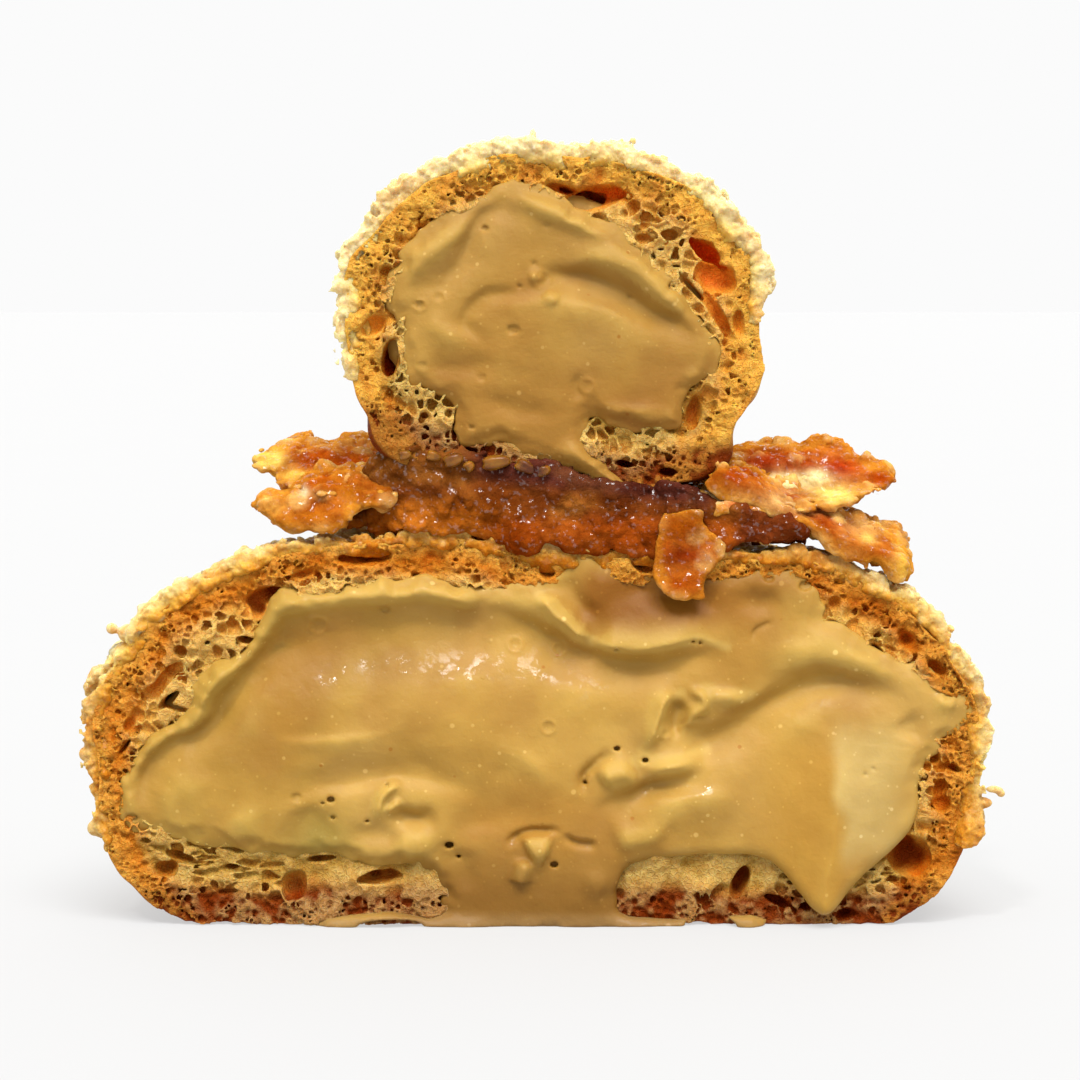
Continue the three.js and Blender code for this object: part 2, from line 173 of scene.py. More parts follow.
# Where the cream ends on the cut face, as (x, z) round the outline.
BASE_CREAM_EDGE = [
    (-35.7, 10.2), (-35.4, 12.2), (-34.7, 13.9), (-33.6, 15.4), (-32.3, 16.5), (-30.7, 17.4),
    (-29.6, 18.4), (-29.7, 20.0), (-28.9, 21.2), (-27.2, 22.3), (-25.3, 23.4), (-24.2, 24.6),
    (-23.3, 26.2), (-22.6, 27.7), (-21.2, 28.4), (-18.4, 28.5), (-15.0, 29.3), (-11.0, 29.6),
    (-7.0, 29.2), (-3.0, 29.1), (-0.6, 29.5), (1.6, 29.8), (2.6, 30.9), (3.6, 31.8),
    (4.9, 31.6), (6.1, 30.7), (7.8, 30.1), (10.5, 29.6), (14.0, 29.5), (17.5, 30.1),
    (21.0, 30.4), (23.2, 29.4), (24.2, 27.8), (24.4, 26.4), (26.2, 25.2), (28.2, 24.0),
    (30.4, 22.9), (32.6, 21.8), (34.8, 20.7), (36.6, 19.8), (36.9, 18.6), (36.2, 17.6),
    (36.0, 16.4), (34.4, 15.6), (33.2, 14.2), (32.5, 12.4), (32.4, 10.2), (31.8, 8.4),
    (30.4, 6.7), (28.8, 5.4), (27.2, 4.0), (25.8, 2.3), (24.9, 1.4), (24.0, 1.3),
    (23.1, 2.0), (21.9, 3.5), (20.5, 5.1), (18.8, 6.0), (15.5, 6.1), (11.0, 5.8),
    (8.0, 5.2), (6.9, 3.6), (6.8, 1.6), (7.0, -0.5), (-7.6, -0.5), (-7.8, 2.4),
    (-8.8, 4.2), (-10.8, 4.9), (-13.6, 5.0), (-15.8, 5.6), (-18.4, 6.2), (-21.0, 5.8),
    (-24.0, 6.1), (-27.0, 6.7), (-30.0, 7.3), (-33.0, 8.1), (-34.9, 8.9),
]
TOP_CREAM_EDGE = [
    (-13.0, 53.0), (-12.6, 54.6), (-11.4, 56.6), (-9.7, 58.7), (-7.6, 60.5), (-5.0, 61.8),
    (-2.8, 62.5), (-1.4, 63.2), (0.3, 62.4), (2.3, 61.7), (3.6, 60.8), (4.6, 60.1),
    (6.5, 59.6), (8.4, 58.3), (9.8, 56.7), (10.9, 55.2), (12.3, 53.7), (13.6, 52.0),
    (14.7, 50.0), (15.3, 48.2), (15.0, 46.6), (14.0, 46.0), (12.8, 45.4), (12.5, 43.9),
    (12.6, 42.5), (11.4, 41.8), (9.0, 41.6), (6.4, 42.4), (5.2, 43.2), (4.3, 43.2),
    (4.2, 41.8), (5.0, 40.3), (6.2, 38.9), (7.4, 37.7), (6.9, 37.2), (5.0, 38.0),
    (3.0, 38.8), (1.2, 39.1), (-0.8, 40.0), (-2.6, 40.8), (-4.6, 40.6), (-6.2, 40.8),
    (-6.8, 42.2), (-7.0, 44.0), (-8.2, 45.0), (-9.8, 45.5), (-11.2, 46.1), (-11.7, 47.6),
    (-11.5, 49.6), (-11.6, 51.0), (-12.6, 52.0),
]


def stroke(path, lift, left, right, ends=(0.15, 0.15), power=2.0):
    """A stroke of the spatula: a path in the cut plane, how far it stands out (or, below zero,
    how deep it is), its widths to the left and right of its direction, the shares of its length
    over which it fades in and out, and how sharp its crest is (1 sharp, 2 round)."""
    return dict(path=path, lift=lift, left=left, right=right, ends=ends, power=power)


BASE_STROKES = [
    # The lip along the upper left edge, and the crease and the wide trough below it.
    stroke([(-35.4, 9.8), (-34.9, 12.4), (-33.6, 14.6), (-31.2, 16.4), (-29.2, 17.6), (-28.5, 19.6),
            (-26.6, 21.6), (-24.3, 23.2), (-22.9, 25.6), (-22.1, 27.3), (-19.6, 28.0), (-15.0, 28.5),
            (-9.0, 28.6), (-4.2, 27.5)], 1.15, 1.5, 1.0, (0.04, 0.06)),
    stroke([(-34.0, 9.6), (-33.4, 12.2), (-31.4, 14.6), (-28.4, 16.8), (-26.4, 19.4), (-24.4, 22.0),
            (-22.4, 24.6), (-20.4, 26.4), (-17.4, 27.2)], -1.2, 0.9, 1.6, (0.15, 0.3)),
    stroke([(-27.0, 18.0), (-24.0, 20.8), (-20.6, 23.6), (-16.0, 25.0), (-10.0, 25.2), (-4.0, 24.8),
            (1.6, 23.6), (6.0, 22.0)], -1.45, 2.2, 4.0, (0.3, 0.35)),
    # The broad bulge of the face, and its lines.
    stroke([(-27.0, 15.4), (-20.0, 18.4), (-12.0, 19.9), (-5.0, 20.6), (2.0, 20.2), (8.0, 18.8)],
           0.65, 3.0, 4.8, (0.3, 0.4)),
    stroke([(-23.0, 15.7), (-16.5, 16.1), (-11.0, 17.2)], 0.3, 0.5, 1.0, (0.4, 0.5)),
    stroke([(-24.5, 10.6), (-19.0, 11.6), (-14.6, 12.7), (-11.0, 13.0), (-7.0, 12.2), (-2.0, 10.6)],
           -0.8, 1.7, 0.9, (0.4, 0.4)),
    stroke([(-33.0, 10.6), (-30.0, 11.8), (-26.0, 12.4)], 0.6, 1.8, 3.0, (0.3, 0.5)),
    stroke([(-26.6, 9.4), (-22.6, 8.6)], 0.45, 1.8, 1.4, (0.45, 0.45)),
    stroke([(-4.2, 16.6), (-0.8, 14.4), (2.4, 12.0)], 0.35, 1.0, 1.2, (0.4, 0.4)),
    stroke([(-9.0, 8.4), (-4.0, 9.4), (3.0, 10.0)], -0.6, 2.0, 1.5, (0.4, 0.45)),
    # The curl and the hollow in the lower left.
    stroke([(-11.2, 12.3), (-12.6, 11.6), (-13.3, 10.4), (-12.9, 8.4)], 0.8, 0.45, 0.6, (0.35, 0.35)),
    stroke([(-13.0, 10.0), (-12.0, 9.9), (-11.4, 10.9)], 0.6, 0.5, 0.5, (0.4, 0.4)),
    stroke([(-12.6, 9.4), (-10.2, 9.1), (-8.0, 9.4)], -1.1, 0.8, 0.9, (0.4, 0.45)),
    stroke([(-12.6, 6.6), (-10.0, 6.8), (-8.6, 6.0)], 0.7, 1.3, 1.4, (0.4, 0.4)),
    stroke([(-16.6, 8.2), (-13.0, 7.6), (-9.6, 8.0)], -0.5, 0.8, 0.9, (0.4, 0.4)),
    stroke([(-20.6, 10.2), (-18.6, 8.4), (-16.6, 7.6)], -0.7, 1.5, 1.7, (0.4, 0.4)),
    # The flap that hangs from the top, its pale edge and the hollow under it.
    stroke([(0.6, 28.6), (1.3, 27.2), (2.4, 25.8), (3.6, 24.8), (4.6, 24.4)], 1.4, 0.95, 0.6, (0.25, 0.25), 1.3),
    stroke([(2.2, 30.4), (2.8, 28.6), (4.0, 26.8), (5.4, 25.6)], -0.7, 0.9, 1.1, (0.3, 0.35)),
    stroke([(4.2, 24.3), (6.0, 23.7), (8.0, 23.4), (10.6, 24.0), (13.4, 24.6), (16.4, 23.6)],
           1.2, 2.4, 0.6, (0.2, 0.45), 1.4),
    stroke([(5.0, 29.4), (8.0, 28.8), (13.0, 27.6), (17.4, 26.0)], -0.9, 1.5, 1.6, (0.4, 0.4)),
    stroke([(-5.0, 27.0), (-0.6, 25.6), (2.2, 23.8), (5.4, 22.4), (9.0, 22.2), (14.0, 22.7), (18.0, 22.6)],
           -1.2, 0.8, 1.7, (0.3, 0.4)),
    stroke([(16.6, 29.2), (18.6, 27.6), (20.8, 28.4)], -0.6, 1.1, 1.1, (0.4, 0.4)),
    stroke([(18.3, 24.2), (18.7, 25.3), (20.2, 26.2)], -0.4, 0.16, 0.3, (0.3, 0.3), 1.5),
    stroke([(18.6, 22.4), (22.4, 23.8), (27.0, 23.0), (31.0, 21.4)], 0.8, 1.6, 1.7, (0.35, 0.4)),
    # The pale ridge in the middle, the swirl and its hollow.
    stroke([(12.2, 20.0), (10.9, 19.2), (10.2, 18.0), (9.8, 16.6), (9.1, 15.2)], 1.2, 0.6, 1.0, (0.3, 0.3), 1.3),
    stroke([(12.6, 19.4), (11.8, 18.3), (11.6, 17.0), (12.4, 16.4)], -1.0, 0.8, 0.6, (0.35, 0.35)),
    stroke([(11.6, 17.6), (12.6, 16.6), (14.6, 16.2), (17.0, 17.0), (19.6, 18.8), (22.4, 20.4),
            (26.0, 20.8), (30.0, 19.8), (33.2, 18.0)], -1.3, 1.2, 1.7, (0.15, 0.4)),
    stroke([(12.8, 19.9), (14.0, 19.7), (14.2, 18.9), (13.2, 18.2), (13.0, 17.6), (14.2, 17.4)],
           0.7, 0.5, 0.5, (0.25, 0.4)),
    stroke([(14.3, 20.4), (15.6, 19.6), (18.0, 19.6)], 0.6, 0.7, 0.8, (0.4, 0.4)),
    # The lump with its two holes, the horn, and the crease below them.
    stroke([(5.2, 12.8), (6.4, 13.4), (8.4, 13.9)], 1.2, 1.2, 1.2, (0.35, 0.35)),
    stroke([(4.0, 11.4), (4.2, 13.0), (5.6, 14.6), (7.2, 15.3)], -1.1, 0.55, 0.35, (0.35, 0.35)),
    stroke([(8.2, 14.0), (10.8, 14.1), (14.4, 14.9)], 1.1, 0.7, 1.0, (0.4, 0.55), 1.4),
    stroke([(4.4, 9.6), (8.2, 11.9), (10.6, 12.8), (14.8, 13.6)], -1.1, 0.6, 1.2, (0.5, 0.5)),
    stroke([(7.0, 9.6), (10.6, 11.2), (14.4, 11.4), (18.0, 10.4)], 0.8, 1.0, 2.4, (0.4, 0.4)),
    # The right: the hollow beside the drip, and the drip with its sharp crest.
    stroke([(26.6, 20.6), (25.4, 16.0), (25.1, 9.0), (24.6, 3.8), (24.4, 0.9)], 2.1, 4.8, 3.8, (0.55, 0.02), 1.25),
    stroke([(31.2, 18.6), (31.8, 17.2), (31.2, 15.6)], -0.6, 1.1, 1.4, (0.4, 0.4)),
    stroke([(33.6, 19.6), (35.8, 19.0)], 0.6, 1.2, 1.2, (0.4, 0.3)),
    # The foot: the slit, the chunk and its drop.
    stroke([(-2.6, 6.6), (-1.8, 7.6), (-0.4, 8.2), (1.2, 8.3), (2.2, 7.8)], -1.0, 0.35, 0.4, (0.3, 0.3)),
    stroke([(2.0, 7.9), (3.0, 7.2), (4.4, 6.9), (5.4, 7.1)], -1.2, 0.3, 0.45, (0.3, 0.3)),
    stroke([(-1.2, 6.2), (0.2, 6.6), (1.1, 6.3)], 1.1, 1.2, 1.3, (0.35, 0.35)),
    stroke([(-1.2, 5.9), (-1.5, 3.8)], 1.0, 0.7, 0.7, (0.4, 0.12)),
    stroke([(6.4, 7.4), (8.6, 8.2), (11.4, 7.9)], 0.7, 1.4, 1.2, (0.35, 0.4)),
    stroke([(3.0, 4.6), (5.4, 3.6), (9.0, 4.2)], 0.4, 0.9, 0.9, (0.4, 0.4)),
    stroke([(-8.6, 7.6), (-6.4, 5.6), (-5.6, 2.6)], -0.5, 1.0, 1.2, (0.4, 0.4)),
]
TOP_STROKES = [
    stroke([(-12.2, 54.4), (-10.2, 55.8), (-8.0, 57.4), (-6.2, 59.0), (-5.2, 60.2)], 0.8, 1.1, 0.9, (0.3, 0.35)),
    stroke([(-11.0, 53.4), (-8.0, 54.5), (-6.2, 56.2), (-5.2, 58.6), (-3.8, 60.4), (-1.6, 60.4),
            (0.6, 59.4)], -0.7, 0.8, 0.9, (0.3, 0.4)),
    stroke([(-2.4, 61.3), (0.0, 60.9), (2.0, 60.1), (4.2, 59.2), (7.0, 58.4)], 0.8, 0.9, 0.8, (0.3, 0.4)),
    stroke([(1.0, 56.6), (5.0, 56.8), (8.4, 55.4), (11.4, 53.2), (14.0, 50.6)], 0.7, 1.4, 0.8, (0.35, 0.3)),
    stroke([(-1.6, 54.8), (2.6, 55.2), (6.0, 54.3), (9.0, 52.6), (12.0, 50.8), (14.2, 49.2)],
           -1.1, 0.8, 1.5, (0.3, 0.3)),
    stroke([(-0.9, 54.9), (0.8, 54.8)], 0.6, 0.6, 0.6, (0.4, 0.4)),
    stroke([(0.4, 53.4), (1.8, 52.6)], 0.5, 0.5, 0.6, (0.4, 0.4)),
    stroke([(-3.2, 49.2), (-5.0, 50.0), (-5.9, 51.4), (-4.4, 53.0), (-1.4, 53.6), (0.4, 54.0)],
           -0.5, 0.6, 0.7, (0.35, 0.4)),
    stroke([(-4.6, 50.8), (-1.6, 52.0), (3.0, 52.4), (8.0, 50.7), (13.0, 48.4)], 0.5, 1.0, 3.2, (0.3, 0.4)),
    stroke([(-9.6, 51.8), (-7.6, 50.4), (-5.6, 48.8)], 0.4, 0.9, 1.0, (0.4, 0.4)),
    stroke([(-9.6, 47.8), (-6.0, 47.2), (-2.6, 47.9)], -0.35, 0.9, 0.9, (0.4, 0.4)),
    stroke([(-6.0, 44.4), (-2.0, 44.2), (3.0, 43.2)], -0.3, 0.9, 0.8, (0.4, 0.4)),
    stroke([(4.8, 43.8), (8.0, 43.6), (11.0, 44.4)], 0.35, 0.8, 0.8, (0.4, 0.4)),
    stroke([(14.6, 46.6), (12.9, 45.8), (12.0, 44.4), (11.4, 42.6)], 0.7, 0.6, 0.8, (0.3, 0.2)),
    stroke([(3.6, 47.0), (3.4, 45.6), (4.4, 44.6)], -0.35, 0.5, 0.6, (0.4, 0.4)),
    stroke([(1.6, 41.2), (4.2, 39.6), (7.0, 37.5)], 0.7, 1.0, 0.9, (0.3, 0.1)),
]
# Thin crests of the cream, with a painted highlight along them.
LIT_CRESTS = [
    [(0.3, 28.4), (1.2, 27.0), (2.2, 25.7), (3.6, 24.8), (4.6, 24.4)],
    [(5.0, 24.4), (6.6, 23.8), (9.0, 23.8), (11.5, 24.3), (13.9, 24.7), (16.1, 23.9)],
    [(12.2, 20.0), (10.9, 19.2), (10.2, 18.0), (9.8, 16.6), (9.1, 15.2)],
    [(8.2, 14.3), (10.8, 14.4), (14.4, 15.1)],
    [(14.3, 20.4), (15.6, 19.8), (18.0, 19.8)],
]
# Air holes in the cream: place, radius and depth.
BASE_PITS = [
    (6.8, 15.3, 0.22, 0.9), (9.2, 14.3, 0.28, 1.2), (4.1, 12.4, 0.2, 0.7), (-17.4, 10.9, 0.3, 0.8),
    (-18.1, 10.6, 0.16, 0.4), (-17.2, 9.4, 0.2, 0.4), (-20.3, 11.1, 0.4, 0.2), (-14.3, 9.1, 0.2, 0.5),
    (-7.4, 7.0, 0.42, 1.6), (-6.6, 6.0, 0.26, 1.2), (-34.3, 9.3, 0.6, 0.35), (1.5, 5.4, 0.3, 0.8),
    (22.7, 29.0, 0.5, 0.4), (19.6, 29.6, 0.35, 0.3), (6.7, 23.7, 0.22, 0.7),
    (13.8, 24.3, 0.18, 0.5), (13.2, 24.4, 0.16, 0.5), (-12.8, 27.0, 0.4, 0.3), (8.0, 5.4, 0.24, 0.6),
    (8.8, 5.4, 0.2, 0.5), (27.7, 13.2, 0.18, 0.2), (28.4, 13.6, 0.12, 0.15), (15.0, 5.8, 0.2, 0.5),
    (-12.6, 12.2, 0.18, 0.6),
]
TOP_PITS = [
    (-4.3, 59.0, 0.3, 0.35), (-8.2, 53.3, 0.3, 0.2), (-9.9, 52.7, 0.35, 0.15), (-1.9, 50.6, 0.45, 0.25),
    (7.8, 53.3, 0.22, 0.2), (-9.6, 47.6, 0.3, 0.15), (-4.6, 46.6, 0.3, 0.15), (0.9, 59.3, 0.3, 0.15),
    (-1.4, 54.2, 0.2, 0.25), (11.4, 54.2, 0.4, 0.5), (-5.4, 42.4, 0.24, 0.25), (-0.2, 56.1, 0.2, 0.2),
]
# Rings that burst air bubbles left on the cream: place and radius.
BASE_RINGS = [(-18.5, 25.6, 0.75), (-1.8, 24.0, 0.6), (1.9, 23.6, 0.55), (25.8, 21.6, 0.6), (1.0, 17.2, 0.6),
              (10.9, 16.6, 0.45)]
TOP_RINGS = [(0.4, 54.8, 0.7), (-9.7, 52.6, 0.5), (4.2, 45.9, 0.6)]

# Shards of brittle: how far behind the cut and at which level the middle is, the tilt backwards in degrees, the
# climb to the right, the thickness, how lumpy it is, the outline that shows from the front as (x, z), and patches of
# colour in it: place, half sizes and the colour seen. The palest patches paint the glow of light through the glass
# and its highlights.
SHARDS = dict(
    brittle_left_back=dict(
        deep=8.6, level=39.2, lumpy=1, tilt=24, climb=0.05, thick=1.3,
        outline=[(-23.2, 39.7), (-22.2, 40.3), (-20.9, 41.1), (-19.2, 41.6), (-18.3, 40.9), (-17.0, 40.7),
                 (-16.6, 41.2), (-14.5, 41.6), (-10.0, 41.0), (-9.0, 38.6), (-12.0, 37.4), (-16.0, 36.8),
                 (-20.2, 37.5), (-21.6, 38.0), (-22.4, 38.9)],
        patches=[(-22.4, 39.6, 1.5, 0.8, (252, 218, 116)), (-20.6, 38.4, 1.6, 0.5, (246, 192, 92)),
                 (-15.4, 39.4, 2.6, 0.8, (208, 96, 16)), (-18.0, 40.2, 1.0, 0.5, (206, 98, 22))]),
    brittle_left_front=dict(
        deep=2.0, level=36.5, lumpy=1, tilt=42, climb=0.12, thick=1.7,
        outline=[(-23.4, 35.9), (-22.7, 36.4), (-20.9, 36.8), (-20.3, 37.4), (-19.2, 38.3), (-17.8, 39.1),
                 (-16.8, 38.7), (-15.4, 38.8), (-12.0, 39.4), (-11.0, 37.4), (-12.4, 36.0), (-14.4, 36.0),
                 (-15.6, 35.6), (-16.4, 34.3), (-17.4, 33.9), (-21.1, 34.0), (-21.9, 34.5), (-22.5, 35.0)],
        patches=[(-22.4, 35.6, 1.5, 0.8, (226, 164, 80)), (-19.5, 37.0, 0.4, 0.45, (255, 244, 200)),
                 (-17.6, 37.4, 1.8, 0.9, (184, 98, 34)), (-18.6, 34.8, 2.4, 0.8, (196, 116, 46)),
                 (-12.0, 37.6, 2.0, 1.6, (160, 88, 26)), (-15.6, 37.0, 1.0, 0.7, (196, 118, 44))]),
    brittle_right_back=dict(
        deep=8.4, level=38.7, lumpy=1, tilt=26, climb=-0.06, thick=1.3,
        outline=[(14.5, 40.4), (17.3, 40.8), (20.0, 40.9), (21.2, 41.0), (21.8, 40.7), (22.8, 41.1),
                 (23.8, 41.4), (25.0, 41.4), (25.8, 41.0), (26.5, 40.0), (27.4, 39.7), (28.2, 39.2),
                 (28.9, 39.3), (29.5, 38.7), (29.8, 38.0), (29.2, 37.4), (27.6, 37.1), (26.4, 36.5),
                 (25.2, 36.1), (23.9, 35.9), (20.0, 35.6), (17.9, 35.2), (15.2, 35.5), (13.8, 36.3),
                 (14.0, 38.0)],
        patches=[(19.2, 39.6, 2.4, 0.9, (186, 70, 6)), (25.4, 39.0, 2.0, 1.1, (184, 66, 6)),
                 (21.6, 37.9, 3.0, 0.7, (255, 240, 180)), (23.6, 38.4, 0.9, 0.5, (255, 240, 190)),
                 (25.0, 36.8, 1.8, 0.7, (254, 228, 130)), (28.9, 38.1, 0.9, 0.6, (196, 84, 34)),
                 (15.0, 36.5, 1.0, 0.6, (255, 228, 170)), (17.0, 35.8, 1.0, 0.5, (226, 92, 24))]),
    brittle_right_front=dict(
        deep=3.8, level=35.6, lumpy=1, tilt=20, climb=-0.46, thick=1.5,
        outline=[(14.2, 37.6), (16.3, 39.3), (17.1, 39.4), (18.0, 39.1), (18.9, 38.5), (19.8, 37.8),
                 (21.9, 37.6), (22.4, 36.9), (23.5, 36.8), (24.1, 36.2), (24.2, 35.6), (25.9, 35.3),
                 (27.1, 35.0), (27.6, 34.4), (29.2, 33.9), (30.2, 34.0), (30.8, 32.5), (30.9, 31.6),
                 (31.4, 30.9), (31.1, 30.1), (30.5, 29.7), (29.7, 30.4), (28.4, 31.1), (26.9, 31.0),
                 (25.8, 31.3), (24.9, 32.5), (24.0, 33.4), (22.0, 34.1), (19.6, 35.2), (17.2, 36.2),
                 (15.4, 36.9), (14.3, 37.2)],
        patches=[(16.0, 38.0, 1.4, 0.9, (178, 80, 22)), (28.0, 33.1, 0.7, 0.5, (253, 208, 112)),
                 (30.8, 30.6, 0.6, 0.9, (250, 200, 90)), (22.0, 36.2, 3.4, 0.9, (238, 190, 128)),
                 (27.6, 34.2, 1.6, 0.8, (236, 180, 112))]),
    brittle_chip=dict(
        deep=-1.0, level=31.7, lumpy=0.35, tilt=86, climb=0.02, thick=0.7,
        outline=[(10.5, 34.6), (10.8, 35.3), (11.5, 35.4), (12.0, 35.2), (13.0, 35.3), (13.9, 35.1), (14.0, 34.3),
                 (14.4, 33.5), (15.0, 33.0), (15.7, 32.4), (15.8, 31.4), (15.0, 30.6), (14.2, 30.0), (14.0, 29.0),
                 (13.9, 28.2), (12.9, 28.0), (11.3, 28.4), (10.1, 29.8), (10.0, 31.0), (10.1, 32.5), (10.4, 33.5)],
        patches=[(12.3, 34.0, 2.2, 1.1, (174, 90, 28)), (12.6, 31.6, 2.4, 1.0, (150, 64, 14)),
                 (12.2, 29.2, 1.6, 0.9, (180, 88, 26))]),
)

# ------------------------------------------------------------------ grids and noise

NOISE_LOW = np.array([-46.0, -30.0, -6.0])
NOISE_HIGH = np.array([46.0, 28.0, 74.0])


class Grid:
    """Sample points in a block, as three axes that broadcast against each other."""

    def __init__(self, low, high, step):
        self.low = np.array(low, np.float32)
        self.step = step
        counts = np.ceil((np.array(high) - np.array(low)) / step).astype(int) + 1
        self.shape = tuple(int(n) for n in counts)
        self.axes = [self.low[i] + step * np.arange(self.shape[i], dtype=np.float32) for i in range(3)]
        self.x = self.axes[0][:, None, None]
        self.y = self.axes[1][None, :, None]
        self.z = self.axes[2][None, None, :]

    def window(self, centre, reach):
        """The samples within reach of a point: their slices, and their offsets from it."""
        first = np.maximum(np.floor((centre - reach - self.low) / self.step).astype(int), 0)
        last = np.minimum(np.ceil((centre + reach - self.low) / self.step).astype(int) + 1, self.shape)
        if (first >= last).any():
            return None
        part = tuple(slice(a, b) for a, b in zip(first, last))
        dx = (self.axes[0][part[0]] - centre[0])[:, None, None]
        dy = (self.axes[1][part[1]] - centre[1])[None, :, None]
        dz = (self.axes[2][part[2]] - centre[2])[None, None, :]
        return part, (dx, dy, dz)


def lattice(size, seed):
    """Random values on a lattice that covers the whole part, size apart."""
    counts = np.ceil((NOISE_HIGH - NOISE_LOW) / size).astype(int) + 5
    return np.random.default_rng(seed).standard_normal(counts, dtype=np.float32) * 1.7


def spline(points, low, size):
    """Where each point lies on a lattice: its first of four values, and their B-spline weights."""
    t = (np.asarray(points, float) - low) / size + 1
    first = np.floor(t).astype(int)
    f = (t - first).astype(np.float32)
    return first, ((1 - f) ** 3 / 6, (3 * f**3 - 6 * f**2 + 4) / 6, (-3 * f**3 + 3 * f**2 + 3 * f + 1) / 6, f**3 / 6)


def noise(axes, size, seed):
    """Smooth noise on a grid's axes, about -1 to 1, with bumps about size across."""
    values = lattice(size, seed)
    for axis in range(3):
        first, weights = spline(axes[axis], NOISE_LOW[axis], size)
        low, high = max(first.min(), 0), min(first.max() + 4, values.shape[0])
        matrix = np.zeros((len(first), high - low), np.float32)
        rows = np.arange(len(first))
        for offset, weight in enumerate(weights):
            matrix[rows, np.clip(first + offset - low, 0, high - low - 1)] += weight
        values = np.moveaxis(np.tensordot(matrix, values[low:high], axes=(1, 0)), 0, 2)
    return values


def noise_at(x, y, z, size, seed):
    """The same noise at scattered points."""
    values = lattice(size, seed)
    found = [spline(p, NOISE_LOW[axis], size) for axis, p in enumerate((x, y, z))]
    total = np.zeros(len(x), np.float32)
    for i in range(4):
        for j in range(4):
            for k in range(4):
                places = [np.clip(found[a][0] + o, 0, values.shape[a] - 1) for a, o in enumerate((i, j, k))]
                total += found[0][1][i] * found[1][1][j] * found[2][1][k] * values[tuple(places)]
    return total


CELL_TABLE = np.random.default_rng(7).random((64**3, 4), dtype=np.float32)


def cells(x, y, z, size, seed):
    """For scattered points: the distance to the nearest of random seeds that lie about size
    apart, as a share of size, and a random value that belongs to that seed."""
    px, py, pz = (np.asarray(p, np.float32) / size + 13.7 * (seed % 97) for p in (x, y, z))
    ix, iy, iz = (np.floor(p).astype(np.int32) for p in (px, py, pz))
    nearest = np.full(px.shape, 9.0, np.float32)
    own = np.zeros_like(nearest)
    for dx, dy, dz in itertools.product((-1, 0, 1), repeat=3):
        jx, jy, jz = ix + dx, iy + dy, iz + dz
        found = CELL_TABLE[((jx & 63) * 64 + (jy & 63)) * 64 + (jz & 63)]
        away = ((jx + 0.1 + 0.8 * found[..., 0] - px) ** 2 + (jy + 0.1 + 0.8 * found[..., 1] - py) ** 2
                + (jz + 0.1 + 0.8 * found[..., 2] - pz) ** 2)
        nearer = away < nearest
        nearest = np.where(nearer, away, nearest)
        own = np.where(nearer, found[..., 3], own)
    return np.sqrt(nearest), own


def grained(field, grid, layers, seed, reach=1.3):
    """The solid with packed grains on its surface, in layers of (size, height, spread)."""
    at = np.nonzero(np.abs(field) < reach)
    points = [grid.axes[axis][at[axis]] for axis in range(3)]
    for number, (size, height, spread) in enumerate(layers):
        away, own = cells(*points, size, seed + number)
        field[at] -= height * (0.25 + 1.25 * own) * np.maximum(1 - (away / spread) ** 2, 0)
    return field


def smooth_union(a, b, blend):
    h = np.maximum(blend - np.abs(a - b), 0) / blend
    return np.minimum(a, b) - h * h * (blend / 4)


def smooth_cut(a, b, blend):
    """What is inside both a and b, with a rounded edge."""
    return -smooth_union(-a, -b, blend)


def ease(values, low, high):
    """0 at low and 1 at high, with a smooth step between them. Low may be the larger."""
    t = np.clip((values - low) / (high - low), 0, 1)
    return t * t * (3 - 2 * t)


# ------------------------------------------------------------------ forms


def lumps(x, y, z, size):
    """Soft lumps, from -1 to 1, about size across: the same as the CAD buns have."""
    f = math.pi / size
    coarse = np.sin(x * f + 1.3) * np.sin(y * f + 0.7) * np.sin(z * f * 1.1 + 2.1)
    fine = np.sin(x * f * 2.1 + 0.2) * np.sin(y * f * 1.9 + 2.6) * np.sin(z * f * 2.3 + 1.1)
    return coarse + 0.5 * fine


def form_distance(form, x, y, z):
    """About how far each point is outside the lumpy superellipsoid that the CAD part has."""
    cx, cy, cz = form["centre"]
    qx, qy, qz = x - cx, y - cy, z - cz
    if "dent" in form:
        dent = form["dent"]
        near = np.exp(-((x - dent["x"]) ** 2 + (y - dent["y"]) ** 2) / dent["width"] ** 2)
        up = np.maximum(qz, 0) / np.sqrt(qx**2 + qy**2 + qz**2 + 0.01)
        qz = qz + dent["depth"] * near * up**2
    upper = qz >= 0
    power = np.where(upper, form["upper_power"], form["lower_power"]).astype(np.float32)
    height = np.where(upper, form["rise"], form["drop"]).astype(np.float32)
    level = np.sqrt((qx / form["half"]) ** 2 + (qy / form["depth"]) ** 2)
    size = (level**power + np.abs(qz / height) ** power) ** (1 / power) + 1e-4
    radius = np.sqrt(qx**2 + qy**2 + qz**2) + 1e-4
    swell = form["lump"] * lumps(qx / size, qy / size, qz / size, form["lump_size"])
    return radius - radius / size - swell


def nearest_on_path(points, x, z, closed_path=False):
    """For each place in the cut plane: distance squared to a path, the share of its length at
    the nearest point, and which side it is on (above zero on the left)."""
    corners = np.array(points, np.float32)
    ends = np.roll(corners, -1, axis=0)
    if not closed_path:
        corners, ends = corners[:-1], ends[:-1]
    lengths = np.hypot(*(ends - corners).T)
    starts = np.concatenate([[0], np.cumsum(lengths)])
    best = np.full(np.broadcast(x, z).shape, 1e9, np.float32)
    along, side = np.zeros_like(best), np.zeros_like(best)
    for (ax, az), (bx, bz), start, length in zip(corners, ends, starts, lengths):
        dx, dz = bx - ax, bz - az
        t = np.clip(((x - ax) * dx + (z - az) * dz) / (length * length), 0, 1)
        ox, oz = x - ax - t * dx, z - az - t * dz
        d = ox**2 + oz**2
        nearer = d < best
        best = np.where(nearer, d, best)
        along = np.where(nearer, (start + t * length) / starts[-1], along)
        side = np.where(nearer, dx * oz - dz * ox, side)
    return best, along, side


